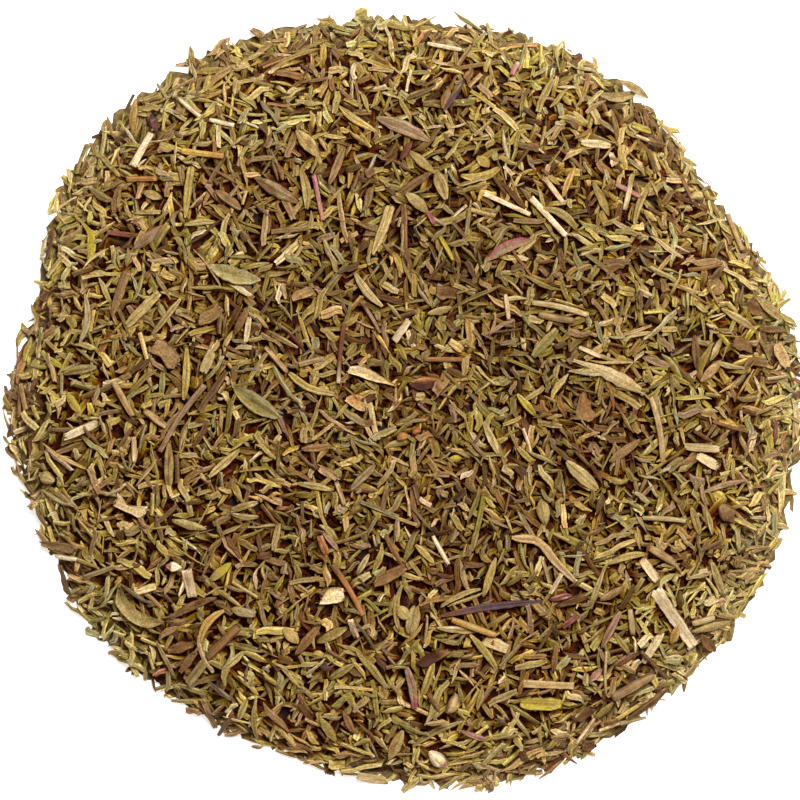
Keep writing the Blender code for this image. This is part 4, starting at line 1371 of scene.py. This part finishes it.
# Patches of painted shade and painted light, where the leaves are darker or paler than the rest: middle,
# reach and how much light they keep.
PAINTED_SHADE_AND_LIGHT_PATCHES = (
    (8, 24, 9, 0.73), (24, 8, 9, 0.68), (40, -8, 7, 0.86), (8, -24, 9, 0.88), (0, 38, 8, 0.93),
    (-24, 40, 8, 0.9), (-58, -24, 8, 1.15), (-24, -58, 9, 1.45), (-24, 58, 8, 1.08),
    (58, 20, 9, 1.25), (-8, 8, 7, 1.05), (-24, 24, 8, 0.84), (42, 16, 9, 0.9), (-24, -8, 8, 1.22),
    (-6, -60, 9, 1.2), (62, -2, 8, 1.08), (8, -60, 8, 1.1), (10, 58, 8, 1.08),
)
# Cloudy drifts of colour over the heap: how many to a millimetre, and what they do to each part.
DRIFTS_TO_MM = 0.1
DRIFT_TONE = np.array([0.10, 0.25, 0.25])


def leaf_sizes(count):
    """Sizes for this many small leaves, and the least and most form number of each."""
    rows = KINDS[rng.choice(len(KINDS), count, p=KINDS[:, 0])]
    length = np.minimum(rows[:, 1] * np.exp(rng.normal(0, 1, count) * rows[:, 2]), LONGEST)
    width = rows[:, 3] + rng.random(count) * (rows[:, 4] - rows[:, 3])
    thickness = rows[:, 5] + rng.random(count) * (rows[:, 6] - rows[:, 5])
    return np.stack([length, width, thickness], 1), rows[:, 7:9]


def anywhere(count):
    """Places all over the heap."""
    radius = np.sqrt(rng.random((count, TRIES))) * POURED_TO
    angle = rng.random((count, TRIES)) * 2 * math.pi
    return np.stack([radius * np.cos(angle), radius * np.sin(angle)], 2)


def beside(cells, count):
    """Places close to the listed cells, for the leaves that tuck the larger pieces in."""
    picks = rng.integers(0, len(cells[0]), (count, TRIES))
    places = np.stack([middle_of(cells[1][picks]), middle_of(cells[0][picks])], 2)
    return places + rng.normal(0, TUCKED_APART, places.shape)


def leaf_tints(x, y, pick):
    """Each leaf's colour: the one picked for it, then what its place in the heap does to it: painted light
    at the rim, patches of painted shade and light, and drifts of colour.
    """
    tints = np.array([linear(TINTS[name]) for name in COLOUR_NAMES])[pick]
    tints *= np.exp(rng.normal(0, TINT_SPREAD, (len(pick), 1)))
    # Painted light: the leaves grow paler towards the rim.
    rim_share = np.minimum(np.hypot(x, y) / RIM_LIGHT_RADIUS, 1)[:, None] ** 3
    tints *= MIDDLE_TONE + (RIM_LIGHT_AND_TONE - MIDDLE_TONE) * rim_share
    # Patches of painted shade and light.
    for middle_x, middle_y, reach, tone in PAINTED_SHADE_AND_LIGHT_PATCHES:
        apart = np.hypot(x - middle_x, y - middle_y)[:, None] / reach
        tints *= 1 + (tone - 1) * np.exp(-apart ** 2)
    drifts = [ruffle(DRIFTS_TO_MM * px, DRIFTS_TO_MM * py, 4) for px, py in zip(x, y)]
    tints *= 1 + np.array(drifts)[:, None] * DRIFT_TONE
    return tints / np.maximum(tints.max(1, keepdims=True) / BRIGHTEST, 1)


# ---- Everything, in the order it is made ----

set_the_stage()
skins = {name: dried_plant_material(name, *values) for name, values in SKINS.items()}

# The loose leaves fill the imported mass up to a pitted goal. They leave room for the larger pieces,
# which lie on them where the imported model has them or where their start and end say.
mass = spread_rim(mass_heights())
inside = mass > BARE
pits = eased(rng.random(mass.shape), PIT_CELLS)
pits = np.clip((pits - pits.mean()) / pits.std(), -1, PIT_SPREADS) / PIT_SPREADS * PIT_DEPTH
goal = np.where(inside, mass - np.maximum(pits, 0), OUTSIDE)
pile = np.where(inside, np.maximum(0, mass - BED_DEPTH), 0.0)
sky = np.full_like(mass, OPEN_SKY)
ceiling = sky.copy()
unguarded = np.zeros(mass.shape, bool)
laid = unguarded.copy()
for node in LARGE_PIECES:
    cells, low = node_heights(node, True)
    ceiling[cells] = np.minimum(ceiling[cells], low + PRESSED_IN)
    laid[cells] = True
for row in sum(STANDOUTS.values(), ()):
    cells = standout_lie(goal, row)[1]
    goal[cells] = np.minimum(goal[cells], mass[cells] - STANDOUT_ROOM)
NOBODY, LARGE = -1, -2
owner = np.full(mass.shape, NOBODY)
sizes, form_range = leaf_sizes(LEAVES_POURED)
rows, kept = pour(pile, goal, ceiling, unguarded, owner, sizes, anywhere(LEAVES_POURED))
form_range = form_range[kept]

large = []
for number, (node, (form, first, second, where)) in enumerate(LARGE_PIECES.items()):
    spine, halves, up = sliced(node)
    if form in ("bud", "husk"):
        spine, halves = plumped(spine, halves, up)
    made = fine_piece(
        form, spine, halves, up, (first, second), where, 3.1 * number + 1,
        sides=36 if form == "husk" else 18, edges=FLAKE_EDGES.get(node),
    )
    piece = fine_object(node + "_dried", [made], [SKIN_OF_FORM[form]])
    large.append(piece)
    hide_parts(node)
    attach(piece, "root")
    cells, high = node_heights(node, False)
    pile[cells] = np.maximum(pile[cells], high)
    owner[cells] = LARGE

for number, (finish, group) in enumerate(STANDOUTS.items()):
    pieces = []
    for place, row in enumerate(group):
        lie, cells, high = standout_lie(pile, row)
        pieces.append(standout(row, lie, 7.3 * place + 0.9 * number))
        pile[cells] = np.maximum(pile[cells], high)
        owner[cells] = LARGE
        laid[cells] = True
    piece = fine_object("standout_" + finish, pieces, [SKIN_OF_FORM[row[0]] for row in group])
    large.append(piece)
    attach(piece, "root")

# The last pinch tucks the larger pieces in: it may cover their edges but not their middles.
core = eased(laid.astype(float), 1) > GUARDED
edge = np.nonzero(laid & ~core)
sizes, more_range = leaf_sizes(LEAVES_TUCKED)
goal[laid] += TUCKED_RISE
tucked_goal = eased(goal, 1) + TUCKED_MORE
more, kept = pour(pile, tucked_goal, sky, core, owner, sizes, beside(edge, LEAVES_TUCKED))
rows = np.concatenate([rows, more])
form_range = np.concatenate([form_range, more_range[kept]])
x, y = rows[:, 0], rows[:, 1]

# How much of each leaf shows, as a share of its plan. A leaf that came to rest alone, past the
# rim, has been swept away.
PLAN_SHARE = 0.8
ids, cells_seen = np.unique(owner[owner >= 0], return_counts=True)
seen = np.zeros(len(rows))
seen[ids] = cells_seen * CELL * CELL / (rows[ids, 6] * rows[ids, 7] * PLAN_SHARE)
company = eased((owner != NOBODY).astype(float), EASED_CELLS)
swept_away = over(company, x, y) < LEAST_COMPANY

shares = np.array(COLOUR_SHARES)
pick = rng.choice(len(LEAF_COLOURS), len(rows), p=shares / shares.sum())
finishes = np.array(COLOUR_FINISHES)[pick]
tints = leaf_tints(x, y, pick)
least_form, most_form = form_range.T
forms = (least_form + rng.random(len(rows)) * (most_form - least_form)).astype(int)
BOW_SPREAD, BOW_LENGTH = 0.06, 3.5
bows = rng.normal(0, BOW_SPREAD, (len(rows), 3)) * rows[:, 6:7] / BOW_LENGTH

surface = eased(pile, EASED_CELLS)
# Painted shade in the hollows, weaker on the larger pieces.
for piece in large:
    shade_hollows(piece, surface, HOLLOW_OF_LARGE)
    press_on_table(piece)

# Leaves that show well are finer than half-hidden ones. Hidden ones are made only at the rim,
# where the heap is seen into from the side.
SEEN_WELL = 0.3
RIM_LAYER_FROM = 52
on_top = (seen > SEEN_WELL) & ~swept_away
half_hidden = (seen > 0) & (seen <= SEEN_WELL) & ~swept_away
under_rim = (seen == 0) & (np.hypot(x, y) > RIM_LAYER_FROM) & ~swept_away
layers = [("loose_" + finish, finish, on_top & (finishes == finish), 8, 5) for finish in FINISHES]
layers += [
    ("half_hidden_" + finish, "packed_leaf", half_hidden & (finishes == finish), 6, 4)
    for finish in FINISHES
]
layers.append(("rim_under_leaves", "packed_leaf", under_rim, 5, 4))
tree = loose_leaf_tree(rolled_leaf_tree())
skin = skins["rubbed_thyme_leaf"]
for name, finish, mask, sides, stations in layers:
    layer = leaf_layer(
        name, rows[mask], tints[mask], forms[mask], bows[mask], tree, skin, sides, stations
    )
    # Painted shade in the hollows.
    shade_hollows(layer, surface)
    press_on_table(layer)
    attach(layer, "root")

bed = packed_bed(mass)
bed.data.materials.append(bed_material())
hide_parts("leaf_mass")
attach(bed, "root")
